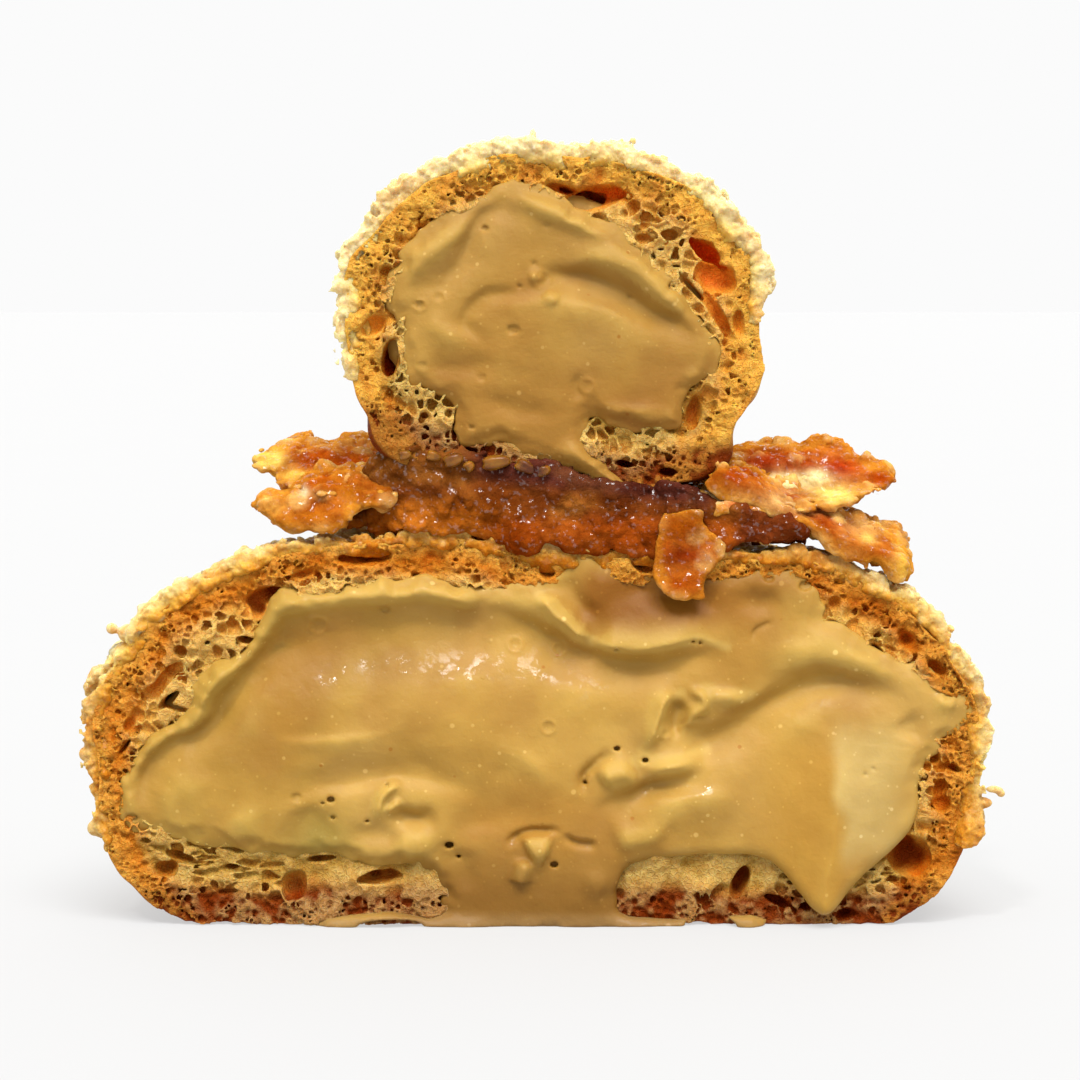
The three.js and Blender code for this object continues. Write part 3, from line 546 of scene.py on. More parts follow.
def outline_distance(points, x, z):
    """Signed distance, in the cut plane, to a closed outline: below zero inside."""
    best, _, _ = nearest_on_path(points, x, z, True)
    inside = np.zeros(best.shape, bool)
    corners = np.array(points, np.float32)
    for (ax, az), (bx, bz) in zip(corners, np.roll(corners, -1, axis=0)):
        if abs(bz - az) > 1e-6:
            inside ^= ((az > z) != (bz > z)) & (x < (bx - ax) * (z - az) / (bz - az) + ax)
    return np.where(inside, -1, 1) * np.sqrt(best)


def rounded(points, steps=4, closed_path=True):
    """The same path with a smooth curve through its points."""
    p = np.array(points, float)
    if closed_path:
        before, after, beyond = np.roll(p, 1, axis=0), np.roll(p, -1, axis=0), np.roll(p, -2, axis=0)
    else:
        before, after = np.vstack([p[:1], p[:-1]]), np.vstack([p[1:], p[-1:]])
        beyond = np.vstack([after[1:], p[-1:]])
    curve = []
    for i in range(len(p) - (0 if closed_path else 1)):
        for t in np.arange(steps) / steps:
            a = 2 * p[i] + (after[i] - before[i]) * t
            b = (2 * before[i] - 5 * p[i] + 4 * after[i] - beyond[i]) * t**2
            c = (3 * p[i] - before[i] - 3 * after[i] + beyond[i]) * t**3
            curve.append((a + b + c) / 2)
    return curve if closed_path else curve + [p[-1]]


STEEPEST = 1.9  # how many of its widths a stroke may stand out or be deep


def stroke_relief(strokes, x, z):
    """How far the strokes lift the cream at each point of the cut plane."""
    lift = np.zeros(np.broadcast(x, z).shape, np.float32)
    for made in strokes:
        best, along, side = nearest_on_path(rounded(made["path"], 4, False), x, z)
        width = np.where(side > 0, made["left"], made["right"])
        fade = ease(along, 0, made["ends"][0]) * ease(along, 1, 1 - made["ends"][1])
        most = STEEPEST * min(made["left"], made["right"])
        lift += float(np.clip(made["lift"], -most, most)) * fade * np.exp(-((best + 1e-6) ** (made["power"] / 2)) / width ** made["power"])
    return lift


# ------------------------------------------------------------------ meshes


def polygons(field, grid):
    """The zero surface of a field as points in millimetres and triangles that look outwards."""
    vdb = openvdb.FloatGrid(background=1.0)
    vdb.copyFromArray(np.ascontiguousarray(np.clip(field, -1, 1), np.float32))
    points, triangles, quads = vdb.convertToPolygons(isovalue=0.0, adaptivity=0.0)
    quads = np.asarray(quads, np.int32).reshape(-1, 4)
    triangles = np.asarray(triangles, np.int32).reshape(-1, 3)
    made = np.concatenate([quads[:, [0, 1, 2]], quads[:, [0, 2, 3]], triangles])
    return np.asarray(points, np.float32) * grid.step + grid.low, made


def closed(field):
    """The field with its outermost samples outside, so that its surface is closed."""
    for axis in range(3):
        for end in (0, -1):
            edge = [slice(None)] * 3
            edge[axis] = end
            field[tuple(edge)] = np.maximum(field[tuple(edge)], 0.02)
    return field


def mesh_object(name, points, triangles):
    mesh = bpy.data.meshes.new(name)
    mesh.vertices.add(len(points))
    mesh.vertices.foreach_set("co", (np.asarray(points, np.float32) * MM).ravel())
    mesh.loops.add(3 * len(triangles))
    mesh.loops.foreach_set("vertex_index", np.asarray(triangles, np.int32).ravel())
    mesh.polygons.add(len(triangles))
    mesh.polygons.foreach_set("loop_start", np.arange(0, 3 * len(triangles), 3, dtype=np.int32))
    mesh.update(calc_edges=True)
    mesh.validate()
    return bpy.data.objects.new(name, mesh)


def read_mesh(mesh):
    """A mesh's points in millimetres and its triangles."""
    points = np.empty(len(mesh.vertices) * 3, np.float32)
    mesh.vertices.foreach_get("co", points)
    mesh.calc_loop_triangles()
    triangles = np.empty(len(mesh.loop_triangles) * 3, np.int32)
    mesh.loop_triangles.foreach_get("vertices", triangles)
    return points.reshape(-1, 3) / MM, triangles.reshape(-1, 3)


def decimated(points, triangles, most):
    """The same surface with at most this many triangles."""
    if len(triangles) <= most:
        return points, triangles
    piece = mesh_object("full", points, triangles)
    bpy.context.scene.collection.objects.link(piece)
    modifier = piece.modifiers.new("fewer", "DECIMATE")
    modifier.ratio = most / len(triangles)
    modifier.use_collapse_triangulate = True
    fewer = piece.evaluated_get(bpy.context.evaluated_depsgraph_get()).to_mesh()
    made = read_mesh(fewer)
    bpy.data.objects.remove(piece)
    return made


def opened(surface_part, y, side):
    """The surface on one side of the plane at y (-1 in front, 1 behind), with an open edge in that
    plane, where another part of it goes on."""
    points, triangles = surface_part
    beyond = side * (points[:, 1] - y) < 0
    used, numbers = np.unique(triangles[~beyond[triangles].all(axis=1)], return_inverse=True)
    kept = points[used]
    kept[beyond[used], 1] = y
    return kept, numbers.reshape(-1, 3)


def joined(parts):
    """Several surfaces as one."""
    firsts = np.cumsum([0] + [len(points) for points, _ in parts])
    return (np.concatenate([points for points, _ in parts]),
            np.concatenate([triangles + first for (_, triangles), first in zip(parts, firsts)]))


def finished(name, surface_parts, material, nodes, paint=None):
    """Puts a piece in the scene: smooth, coloured, with its material, riding with the part."""
    points, triangles = joined(surface_parts)
    piece = mesh_object(name, points, triangles)
    bpy.context.scene.collection.objects.link(piece)
    if paint is not None:
        layer = piece.data.color_attributes.new("tint", "FLOAT_COLOR", "POINT")
        colours = np.ones((len(points), 4), np.float32)
        painted = paint(*points.T)
        colours[:, :painted.shape[1]] = painted
        layer.data.foreach_set("color", colours.ravel())
    piece.data.materials.append(material)
    piece.data.polygons.foreach_set("use_smooth", [True] * len(piece.data.polygons))
    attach(piece, "root")
    if nodes:
        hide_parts(*nodes)
    return piece


# ------------------------------------------------------------------ materials

LIT = 0.56  # a base colour over the colour seen, because the lamps add to a full white sky
VEIL = 0.018  # the white that a surface's sheen adds to every colour


def srgb(red, green, blue):
    """A colour given as 0 to 255 on screen, as linear values."""
    parts = [c / 255 for c in (red, green, blue)]
    return np.array([c / 12.92 if c <= 0.04045 else ((c + 0.055) / 1.055) ** 2.4 for c in parts])


def seen(red, green, blue):
    """The base colour that looks so, from 0 to 255, in this studio's light."""
    return np.maximum(srgb(red, green, blue) - VEIL, 0.004) * LIT


def opaque(colour):
    return tuple(float(c) for c in colour) + (1,)


def mixed(first, second, share):
    """Colours part of the way from the first to the second, a share for each point."""
    return first + (second - first) * np.asarray(share, np.float32)[:, None]


def graded(values, stops):
    """Colours through (value, colour) stops."""
    places = [place for place, _ in stops]
    return np.stack([np.interp(values, places, [c[i] for _, c in stops]) for i in range(3)], 1)


def node(tree, kind, inputs=None, **settings):
    """A shader node with its settings, and its inputs set to values or linked to sockets."""
    made = tree.nodes.new(kind)
    for name, value in settings.items():
        setattr(made, name, value)
    for name, value in (inputs or {}).items():
        if isinstance(value, bpy.types.NodeSocket):
            tree.links.new(value, made.inputs[name])
        else:
            made.inputs[name].default_value = value
    return made


def blend(tree, factor, first, second, mode="MIX"):
    made = node(tree, "ShaderNodeMix", {"Factor": factor}, data_type="RGBA", blend_type=mode)
    for socket, value in ((made.inputs[6], first), (made.inputs[7], second)):
        if isinstance(value, bpy.types.NodeSocket):
            tree.links.new(value, socket)
        else:
            socket.default_value = opaque(value)
    return made.outputs[2]


def scaled(tree, value, low, high, to_low=0.0, to_high=1.0):
    """The value mapped from one range onto another and kept inside it."""
    inputs = {"Value": value, "From Min": low, "From Max": high, "To Min": to_low, "To Max": to_high}
    return node(tree, "ShaderNodeMapRange", inputs).outputs["Result"]


def place(tree, stretch=(1, 1, 1)):
    """The object's own coordinates, with each axis stretched."""
    inputs = {"Vector": node(tree, "ShaderNodeTexCoord").outputs["Object"], "Scale": stretch}
    return node(tree, "ShaderNodeMapping", inputs).outputs["Vector"]


def grain(tree, per_metre, detail=2.0, roughness=0.55, stretch=(1, 1, 1)):
    """Noise on the object's own coordinates."""
    inputs = {"Vector": place(tree, stretch), "Scale": per_metre, "Detail": detail, "Roughness": roughness}
    return node(tree, "ShaderNodeTexNoise", inputs).outputs["Fac"]


def specks(tree, per_metre, radius):
    """1 on small scattered spots and 0 between them."""
    inputs = {"Vector": place(tree), "Scale": per_metre}
    return scaled(tree, node(tree, "ShaderNodeTexVoronoi", inputs).outputs["Distance"], radius, radius * 0.6)


def tint(tree):
    """The colour painted on the piece's points."""
    return node(tree, "ShaderNodeAttribute", attribute_name="tint").outputs["Color"]


def bumped(tree, heights):
    """A normal from several (height, distance in metres, strength) layers."""
    normal = None
    for height, distance, strength in heights:
        inputs = {"Height": height, "Distance": distance, "Strength": strength}
        if normal is not None:
            inputs["Normal"] = normal
        normal = node(tree, "ShaderNodeBump", inputs).outputs["Normal"]
    return normal


def surface(name, build):
    """A material whose Principled shader gets the inputs that build(tree) returns."""
    material = bpy.data.materials.new(name)
    material.use_nodes = True
    tree = material.node_tree
    tree.nodes.clear()
    shader = node(tree, "ShaderNodeBsdfPrincipled", build(tree))
    output = node(tree, "ShaderNodeOutputMaterial")
    tree.links.new(shader.outputs["BSDF"], output.inputs["Surface"])
    return material


def pores(tree, per_metre, wall):
    """0 on the walls between tiny bubbles and 1 in the bubbles."""
    wander = node(tree, "ShaderNodeTexNoise", {"Vector": place(tree), "Scale": per_metre * 0.6, "Detail": 1.0})
    strayed = node(tree, "ShaderNodeVectorMath", {0: wander.outputs["Color"], 1: (0.0004,) * 3, 2: place(tree)},
                   operation="MULTIPLY_ADD")
    inputs = {"Vector": strayed.outputs["Vector"], "Scale": per_metre}
    made = node(tree, "ShaderNodeTexVoronoi", inputs, feature="DISTANCE_TO_EDGE")
    return scaled(tree, made.outputs["Distance"], wall * 0.4, wall * 1.6)


def crumb_inputs(tree):
    mottle = scaled(tree, grain(tree, 1100, 4, 0.65), 0.34, 0.68)
    tiny = pores(tree, 2300, 0.1)
    colour = blend(tree, mottle, (0.98, 0.76, 0.52), (1.32, 1.3, 1.2))
    # darker in the tiny bubbles: painted shade in them
    colour = blend(tree, scaled(tree, tiny, 0, 1, 0.0, 0.4), colour, (0.88, 0.66, 0.4))
    return {
        "Base Color": blend(tree, 1.0, tint(tree), colour, "MULTIPLY"),
        "Roughness": scaled(tree, mottle, 0, 1, 0.34, 0.6),
        "Specular IOR Level": 0.03,
        "Subsurface Weight": 0.45,
        "Subsurface Radius": (1.0, 0.55, 0.2),
        "Subsurface Scale": 0.0008,
        "Normal": bumped(tree, [
            (scaled(tree, tiny, 0, 1, 1, 0), 0.00012, 0.8),
            (grain(tree, 3800, 2), 0.00008, 0.6),
        ]),
    }


def craquelin_inputs(tree):
    grains = scaled(tree, grain(tree, 1700, 5, 0.72), 0.36, 0.7)
    colour = blend(tree, grains, (0.91, 0.83, 0.66), (1.13, 1.16, 1.14))
    burnt = scaled(tree, grain(tree, 620, 3), 0.66, 0.8)
    colour = blend(tree, burnt, colour, (0.86, 0.66, 0.42))
    sugar = node(tree, "ShaderNodeTexVoronoi", {"Vector": place(tree), "Scale": 2600.0})
    return {
        "Base Color": blend(tree, 1.0, tint(tree), colour, "MULTIPLY"),
        "Roughness": scaled(tree, grains, 0, 1, 0.3, 0.55),
        "Specular IOR Level": scaled(tree, grain(tree, 1900, 2), 0.52, 0.66, 0.0, 0.3),
        "Subsurface Weight": 0.7,
        "Subsurface Radius": (1.0, 0.74, 0.36),
        "Subsurface Scale": 0.0012,
        "Normal": bumped(tree, [
            (scaled(tree, sugar.outputs["Distance"], 0, 0.7, 1, 0), 0.00012, 0.7),
            (grain(tree, 4200, 3), 0.00008, 0.7),
        ]),
    }


def cream_inputs(tree):
    drift = scaled(tree, grain(tree, 170, 3), 0.34, 0.68)
    colour = blend(tree, drift, (0.92, 0.9, 0.84), (1.06, 1.08, 1.12))
    # pale specks: partly tiny air bubbles, partly painted glints
    colour = blend(tree, specks(tree, 1000, 0.13), colour, (1.16, 1.22, 1.4))
    colour = blend(tree, specks(tree, 520, 0.1), colour, (1.25, 1.38, 1.85))
    colour = blend(tree, specks(tree, 260, 0.07), colour, (1.35, 1.5, 2.1))
    colour = blend(tree, specks(tree, 230, 0.05), colour, (0.86, 0.66, 0.42))
    wet = node(tree, "ShaderNodeAttribute", attribute_name="tint").outputs["Alpha"]
    ragged = scaled(tree, grain(tree, 1000, 3, 0.6), 0.5, 0.6)
    shine = node(tree, "ShaderNodeMath", {0: wet, 1: ragged}, operation="MULTIPLY").outputs["Value"]
    normal = bumped(tree, [(grain(tree, 620, 3), 0.0002, 0.45), (grain(tree, 2400, 2), 0.00004, 0.6)])
    return {
        "Base Color": blend(tree, 1.0, tint(tree), colour, "MULTIPLY"),
        "Roughness": 0.5,
        "Specular IOR Level": 0.15,
        "Coat Weight": shine,
        "Coat Roughness": 0.08,
        "Coat Normal": normal,
        "Subsurface Weight": 0.3,
        "Subsurface Radius": (1.0, 0.55, 0.2),
        "Subsurface Scale": 0.0009,
        "Normal": normal,
    }


def matt_cream_inputs(tree):
    made = cream_inputs(tree)
    made["Roughness"] = 0.55
    made["Coat Weight"] = 0.0
    made["Normal"] = bumped(tree, [
        (grain(tree, 500, 3, 0.6, (0.5, 1, 1.3)), 0.0003, 0.25),
        (grain(tree, 1700, 3), 0.00012, 0.5),
    ])
    return made


def sparkle(tree, per_metre):
    """How much a glaze shines: in small wet spots only."""
    return scaled(tree, grain(tree, per_metre, 2), 0.58, 0.65, 0.0, 0.9)


def caramel_inputs(tree):
    depth = scaled(tree, grain(tree, 420, 4, 0.6), 0.34, 0.68)
    colour = blend(tree, depth, (0.64, 0.52, 0.42), (1.38, 1.46, 1.4))
    return {
        "Base Color": blend(tree, 1.0, tint(tree), colour, "MULTIPLY"),
        "Roughness": 0.09,
        "Specular IOR Level": sparkle(tree, 2300),
        "Subsurface Weight": 0.25,
        "Subsurface Radius": (1.0, 0.5, 0.2),
        "Subsurface Scale": 0.0008,
        "Normal": bumped(tree, [(grain(tree, 800, 3), 0.0005, 0.7), (grain(tree, 2600, 2), 0.0002, 0.8)]),
    }


def brittle_inputs(tree):
    depth = scaled(tree, grain(tree, 520, 4, 0.6), 0.34, 0.68)
    colour = blend(tree, depth, (0.74, 0.58, 0.4), (1.3, 1.34, 1.2))
    return {
        "Base Color": blend(tree, 1.0, tint(tree), colour, "MULTIPLY"),
        "Roughness": 0.08,
        "Specular IOR Level": sparkle(tree, 2100),
        "Subsurface Weight": 0.45,
        "Subsurface Radius": (1.0, 0.7, 0.32),
        "Subsurface Scale": 0.0012,
        "Normal": bumped(tree, [(grain(tree, 700, 3), 0.0004, 0.5), (grain(tree, 2800, 2), 0.00014, 0.7)]),
    }


def seed_inputs(tree):
    shade = scaled(tree, grain(tree, 500, 2), 0.35, 0.7)
    return {
        "Base Color": blend(tree, shade, seen(178, 122, 50), seen(112, 62, 24)),
        "Roughness": scaled(tree, shade, 0, 1, 0.14, 0.3),
        "Specular IOR Level": 0.3,
        "Subsurface Weight": 0.6,
        "Subsurface Radius": (1.0, 0.5, 0.15),
        "Subsurface Scale": 0.001,
        "Normal": bumped(tree, [(grain(tree, 2200, 2), 0.00006, 0.4)]),
    }


# The table glows a little, as a light table does, so that shadows on it stay faint.
TABLE_WHITE = 0.185
TABLE_GLOW = 0.54


def table_inputs(tree):
    white = np.array([TABLE_WHITE] * 3)
    return {
        "Base Color": blend(tree, grain(tree, 20, 2), white * 0.99, white * 1.01),
        "Roughness": 0.9,
        "Specular IOR Level": 0.05,
        "Emission Color": (1, 1, 0.995, 1),
        "Emission Strength": TABLE_GLOW,
    }


CRUMB = surface("choux_crumb", crumb_inputs)
CRAQUELIN = surface("sugar_crust", craquelin_inputs)
CREAM = surface("coffee_cream", cream_inputs)
MATT_CREAM = surface("set_coffee_cream", matt_cream_inputs)
CARAMEL_GLOSS = surface("soft_caramel", caramel_inputs)
BRITTLE = surface("seed_brittle", brittle_inputs)
SEED = surface("candied_seed", seed_inputs)
TABLE = surface("white_table", table_inputs)


# ------------------------------------------------------------------ the choux wall


def stamp(field, grid, centre, radii, width):
    """Joins a ball, stretched by radii along X, Y and Z, to the solid that the field describes."""
    found = grid.window(np.asarray(centre), max(radii) + width + grid.step)
    if found is None:
        return
    part, (dx, dy, dz) = found
    ball = (np.sqrt((dx / radii[0]) ** 2 + (dy / radii[1]) ** 2 + (dz / radii[2]) ** 2) - 1) * min(radii)
    field[part] = smooth_union(field[part], ball, width)


def scoop(field, grid, centre, radii, width):
    """Takes a ball, stretched by radii, out of the solid."""
    found = grid.window(np.asarray(centre), max(radii) + width + grid.step)
    if found is None:
        return
    part, (dx, dy, dz) = found
    ball = (np.sqrt((dx / radii[0]) ** 2 + (dy / radii[1]) ** 2 + (dz / radii[2]) ** 2) - 1) * min(radii)
    field[part] = smooth_cut(field[part], -ball, width)


def carve_bubbles(field, grid, bubbles):
    """Opens the large bubbles, each with an uneven wall."""
    wobble = noise(grid.axes, 0.7, 41)
    slow = noise(grid.axes, 1.8, 42)
    for bubble in bubbles:
        reach = max(bubble["across"], bubble["high"], bubble["deep"]) + 0.8
        found = grid.window(np.array([bubble["x"], CUT_Y, bubble["z"]]), reach)
        if found is None:
            continue
        part, (dx, dy, dz) = found
        tilt = math.radians(bubble["tilt"])
        along = dx * math.cos(tilt) + dz * math.sin(tilt)
        across = dz * math.cos(tilt) - dx * math.sin(tilt)
        size = np.sqrt((along / bubble["across"]) ** 2 + (dy / bubble["deep"]) ** 2
                       + (across / bubble["high"]) ** 2)
        rough = min(1.0, bubble["high"] / 0.8)
        hollow = (size - 1) * bubble["high"] + rough * (0.16 * wobble[part] + 0.18 * slow[part])
        field[part] = smooth_cut(field[part], -hollow, 0.12)


def cell_size(skin):
    """How wide the bubbles of the crumb are at a depth below the crust or the bottom."""
    return 0.38 + 0.23 * np.clip(skin - 1.0, 0, 3.2)


def skin_depth(bun, depth, z):
    """The depth below the crust, or above the browned bottom, whichever is less."""
    return np.minimum(depth, z - bun["floor"] + 0.2)


def crumb_cells(bun, grid, seed):
    """The middles and widths of the crumb's bubbles near the cut, and which of them are open."""
    rng = np.random.default_rng(seed)
    middles, widths = [], []
    bounds = [0.0, 0.5, 0.68, 0.92, 9.0]
    for low, high, width in zip(bounds[:-1], bounds[1:], (0.42, 0.58, 0.8, 1.1)):
        spacing = width * 0.95
        axes = [np.arange(axis[0] - spacing, axis[-1] + spacing, spacing) for axis in grid.axes]
        axes[1] = axes[1][axes[1] < CUT_Y + 2.2 * width]
        points = np.stack(np.meshgrid(*axes, indexing="ij"), -1).reshape(-1, 3)
        points += rng.uniform(-0.38, 0.38, points.shape) * spacing
        depth = -form_distance(bun, *points.T)
        wished = cell_size(skin_depth(bun, depth, points[:, 2])) * rng.uniform(0.75, 1.35, len(points))
        keep = (depth > 0.1) & (depth < 11) & (wished >= low) & (wished < high)
        middles.append(points[keep])
        widths.append(np.full(keep.sum(), width))
    middles, widths = np.concatenate(middles), np.concatenate(widths)
    behind = (middles[:, 1] - CUT_Y) / widths
    is_open = (behind < 0.4) | ((behind < 1.0) & (rng.random(len(behind)) < 0.4))
    return middles, widths, is_open


def foam(bun, grid, depth, seed):
    """Distance into the nearest open bubble of the crumb: above zero in the bubble."""
    nearest = np.full(grid.shape, 9.0, np.float32)
    second, shut = nearest.copy(), nearest.copy()
    rng = np.random.default_rng(seed + 1)
    for middle, width, is_open in zip(*crumb_cells(bun, grid, seed)):
        flat = ease(middle[2], 8.5, 5.5) * ease(middle[2], 3.2, 4.6) * (bun is BASE_BUN)
        stretch = rng.uniform(0.8, 1.25, 3) * np.array([1 + 0.9 * flat, 1, 1 - 0.45 * flat])
        found = grid.window(middle, width * 1.3 * max(1, stretch[0]))
        if found is None:
            continue
        part, (dx, dy, dz) = found
        away = np.sqrt((dx / stretch[0]) ** 2 + (dy / stretch[1]) ** 2 + (dz / stretch[2]) ** 2) / width
        if is_open:
            first = nearest[part]
            second[part] = np.minimum(second[part], np.maximum(first, away))
            nearest[part] = np.minimum(first, away)
        else:
            shut[part] = np.minimum(shut[part], away)
    gap = np.minimum(np.minimum(second, shut) - nearest, 2 * (0.95 - nearest))
    size = cell_size(skin_depth(bun, depth, grid.z))
    wall = 0.06 + 0.07 * size + 0.09 * noise(grid.axes, 0.9, seed + 2)
    return (gap * size - wall) / 2


def cut_roughness(bun, grid, depth, seed):
    """How far the cut through the crumb stands back, over the cut plane: a torn face with tiny
    open bubbles, most of them near the crust."""
    x, z = np.meshgrid(grid.axes[0], grid.axes[2], indexing="ij")
    skin = skin_depth(bun, depth[:, int((CUT_Y - grid.low[1]) / grid.step)], z)
    rough = 0.16 * flat_noise(x, z, 0.45, seed + 7) + 0.36 * flat_noise(x, z, 1.7, seed + 8)
    near = 0.25 + 0.75 * ease(skin, 4.2, 2.0)
    near = near * (1 - bun["glassy"] * ease(np.abs(x - bun["centre"][0]), 7, 12))
    for size, deep, number in ((0.85, 0.42, 9), (0.46, 0.32, 10)):
        away, own = cells(x, np.full_like(x, CUT_Y), z, size, seed + number)
        rough += deep * near * ease(own, 0.15, 0.9) * np.maximum(1 - (away / 0.46) ** 2, 0)
    return rough - 0.1


def crumb_field(bun, cavity, edge, bubbles, grid, seed, at_cut):
    """The baked wall of a bun, with its crumb open at the cut."""
    outside = (form_distance(bun, grid.x, grid.y, grid.z) + 0.3 * noise(grid.axes, 3.2, seed + 4)
               + 0.14 * noise(grid.axes, 1.1, seed + 5))
    hollow = form_distance(cavity, grid.x, grid.y, grid.z) + 0.5 * noise(grid.axes, 2.4, seed + 6)
    if at_cut:
        under_cream = outline_distance(rounded(edge), grid.x[:, 0, :], grid.z[0])[:, None, :] + 0.9
        hollow = under_cream + (hollow - under_cream) * ease(grid.y, CUT_Y + 1.4, CUT_Y + FRONT_DEPTH - 0.8)
    sag = bun["sag"] * np.exp(-((grid.x - 11.0) / 3.6) ** 2) * ease(grid.y, CUT_Y + 8, CUT_Y + 4)
    bottom = bun["floor"] - sag + 0.16 * np.abs(noise(grid.axes, 1.2, seed + 12)) - grid.z
    solid = smooth_cut(outside, bottom, bun["round_foot"])
    for centre, radii in bun["lumps"]:
        stamp(solid, grid, centre, radii, 1.2)
    field = np.maximum(solid, -hollow)
    if at_cut:
        bubble = foam(bun, grid, -outside, seed)
        field = np.maximum(field, np.minimum(bubble, -outside - 0.2))
        carve_bubbles(field, grid, bubbles)
        field = np.maximum(field, CUT_Y + 0.05 + cut_roughness(bun, grid, -outside, seed)[:, None, :] - grid.y)
    return closed(field)


def crumb_paint(bun, low_brown, brown_left, side, side_tone, side_share, skin, deep):
    """The colours of the baked wall: browned outside and pale inside, with painted shade in the opened bubbles
    behind the cut that makes their walls darker and redder; deep in a bubble the colour is multiplied by deep, which
    paints shade in the big bun and a red glow of light through the crumb in the small one.
    """

    def paint(x, y, z):
        depth = -form_distance(bun, x, y, z)
        slow, fine = noise_at(x, y, z, 3.0, 81), noise_at(x, y, z, 0.8, 82)
        layer = depth + 0.5 * slow + 0.3 * fine
        colour = graded(layer, [
            (0.0, skin), (0.7, mixed(skin, seen(230, 154, 60), [0.5])[0]), (1.8, seen(222, 140, 52)),
            (2.8, seen(226, 156, 66)), (3.8, seen(240, 192, 102)), (6.0, seen(236, 192, 106)),
        ])
        colour = mixed(colour, side_tone, side_share * ease(x, *side) * ease(depth, 3.6, 2.0))
        colour = mixed(colour, seen(196, 104, 30), 0.5 * ease(fine + 0.5 * slow, 0.1, 1.0) * ease(depth, 4.2, 2.6))
        low = z - bun["floor"] + 0.5 * slow + brown_left * np.minimum(x, 0)
        colour = mixed(colour, seen(140, 70, 24), ease(low, low_brown + 1.4, low_brown - 0.6))
        olive = ease(low, 8.5, 6.5) * ease(low, 3.4, 4.4) * ease(depth, 1.8, 3.2)
        colour = mixed(colour, seen(182, 152, 80), 0.7 * olive)
        behind = y - CUT_Y
        inner = ease(depth, 0.3, 1.3)
        colour = mixed(colour, seen(252, 226, 156), 0.35 * ease(behind, 0.35, 0.0) * ease(depth, 1.6, 3.6))
        colour = mixed(colour, seen(246, 190, 92), 0.4 * ease(behind, 0.25, 0.0) * ease(depth, 3.0, 1.6))
        # Painted shade on the bubble walls behind the cut, darker and redder; deeper in, deep paints more shade in
        # the big bun and a red glow of light through the crumb in the small one.
        colour = mixed(colour, colour * (1.2, 0.84, 0.5), ease(behind, 0.3, 1.2) * inner)
        return mixed(colour, colour * deep, ease(behind, 1.2, 3.0) * inner)

    return paint


def crumb_piece(name, bun, cavity, edge, bubbles, box, seed, nodes, triangles, paint):
    """The choux wall: foam at the cut and a plain wall behind it."""
    (x0, _, z0), (x1, y1, z1) = box
    seam, step = CUT_Y + FRONT_DEPTH, GRID_BACK * 1.5
    front = Grid((x0, CUT_Y - 0.7, z0), (x1, seam + 2 * GRID_CRUMB, z1), GRID_CRUMB)
    back = Grid((x0, seam - 2 * step, z0), (x1, y1, z1), step)
    foam_part = opened(polygons(crumb_field(bun, cavity, edge, bubbles, front, seed, True), front), seam, -1)
    wall_part = polygons(crumb_field(bun, cavity, edge, bubbles, back, seed, False), back)
    wall_part = opened(wall_part, seam - LAP, 1)
    parts = [decimated(*foam_part, triangles), decimated(*wall_part, 22000)]
    return finished(name, parts, CRUMB, nodes, paint)


# ------------------------------------------------------------------ the sugar crust


# Packed grains: size, height and spread. The fine ones are only near the cut.
GRAINS = [(2.1, 0.5, 0.8), (1.0, 0.4, 0.7)]
FINE_GRAINS = [(0.5, 0.26, 0.7)]


def craquelin_field(bun, coat, grid, extra, seed):
    """A crumbly, cracked crust baked onto the bun."""
    at_cut = grid.low[1] < CUT_Y
    height = form_distance(bun, grid.x, grid.y, grid.z)
    rise = 0.4 * noise(grid.axes, 3.4, seed) + 0.26 * noise(grid.axes, 1.5, seed + 5)
    cracks = ease(np.abs(noise(grid.axes, 6.0, seed + 7)), 0.14, 0.02)
    thick = np.clip(coat["thick"] - 0.45 + rise - 0.7 * cracks, 0.1, coat["thick"] + 0.4)
    outer = grained(height - thick, grid, GRAINS, seed + 1)
    inner = coat["sunk"]
    if at_cut:
        fine = grained(outer.copy(), grid, FINE_GRAINS, seed + 3)
        outer += (fine - outer) * ease(grid.y, CUT_Y + 2.2, CUT_Y + 1.0)
        inner = inner + 0.35 * noise(grid.axes, 2.2, seed + 8)
    ledge = coat["edge"] + coat["lean"] * grid.x
    ledge = ledge + 0.9 * noise(grid.axes, 3.5, seed + 1) + 0.6 * noise(grid.axes, 1.1, seed + 4)
    field = np.maximum(smooth_cut(outer, (ledge - grid.z) * 0.6, 2.0), -inner - height)
    for centre, radii in extra:
        stamp(field, grid, centre, radii, 0.3)
    if at_cut:
        x, z = np.meshgrid(grid.axes[0], grid.axes[2], indexing="ij")
        ragged = 0.2 * flat_noise(x, z, 0.6, seed + 2) + 0.3 * flat_noise(x, z, 2.0, seed + 3)
        for size, high, number in ((1.1, 0.7, 13), (0.55, 0.55, 14)):
            away, own = cells(x, np.full_like(x, CUT_Y), z, size, seed + number)
            ragged -= high * (own - 0.3) * np.maximum(1 - (away / 0.7) ** 2, 0)
        under = height[:, int((CUT_Y - grid.low[1]) / grid.step)] + 0.3 * flat_noise(x, z, 1.1, seed + 9)
        ragged += 0.7 * ease(under, coat["face"] + 0.3, coat["face"] - 0.7)
        field = np.maximum(field, CUT_Y + 0.1 + ragged[:, None, :] - grid.y)
    return closed(field)


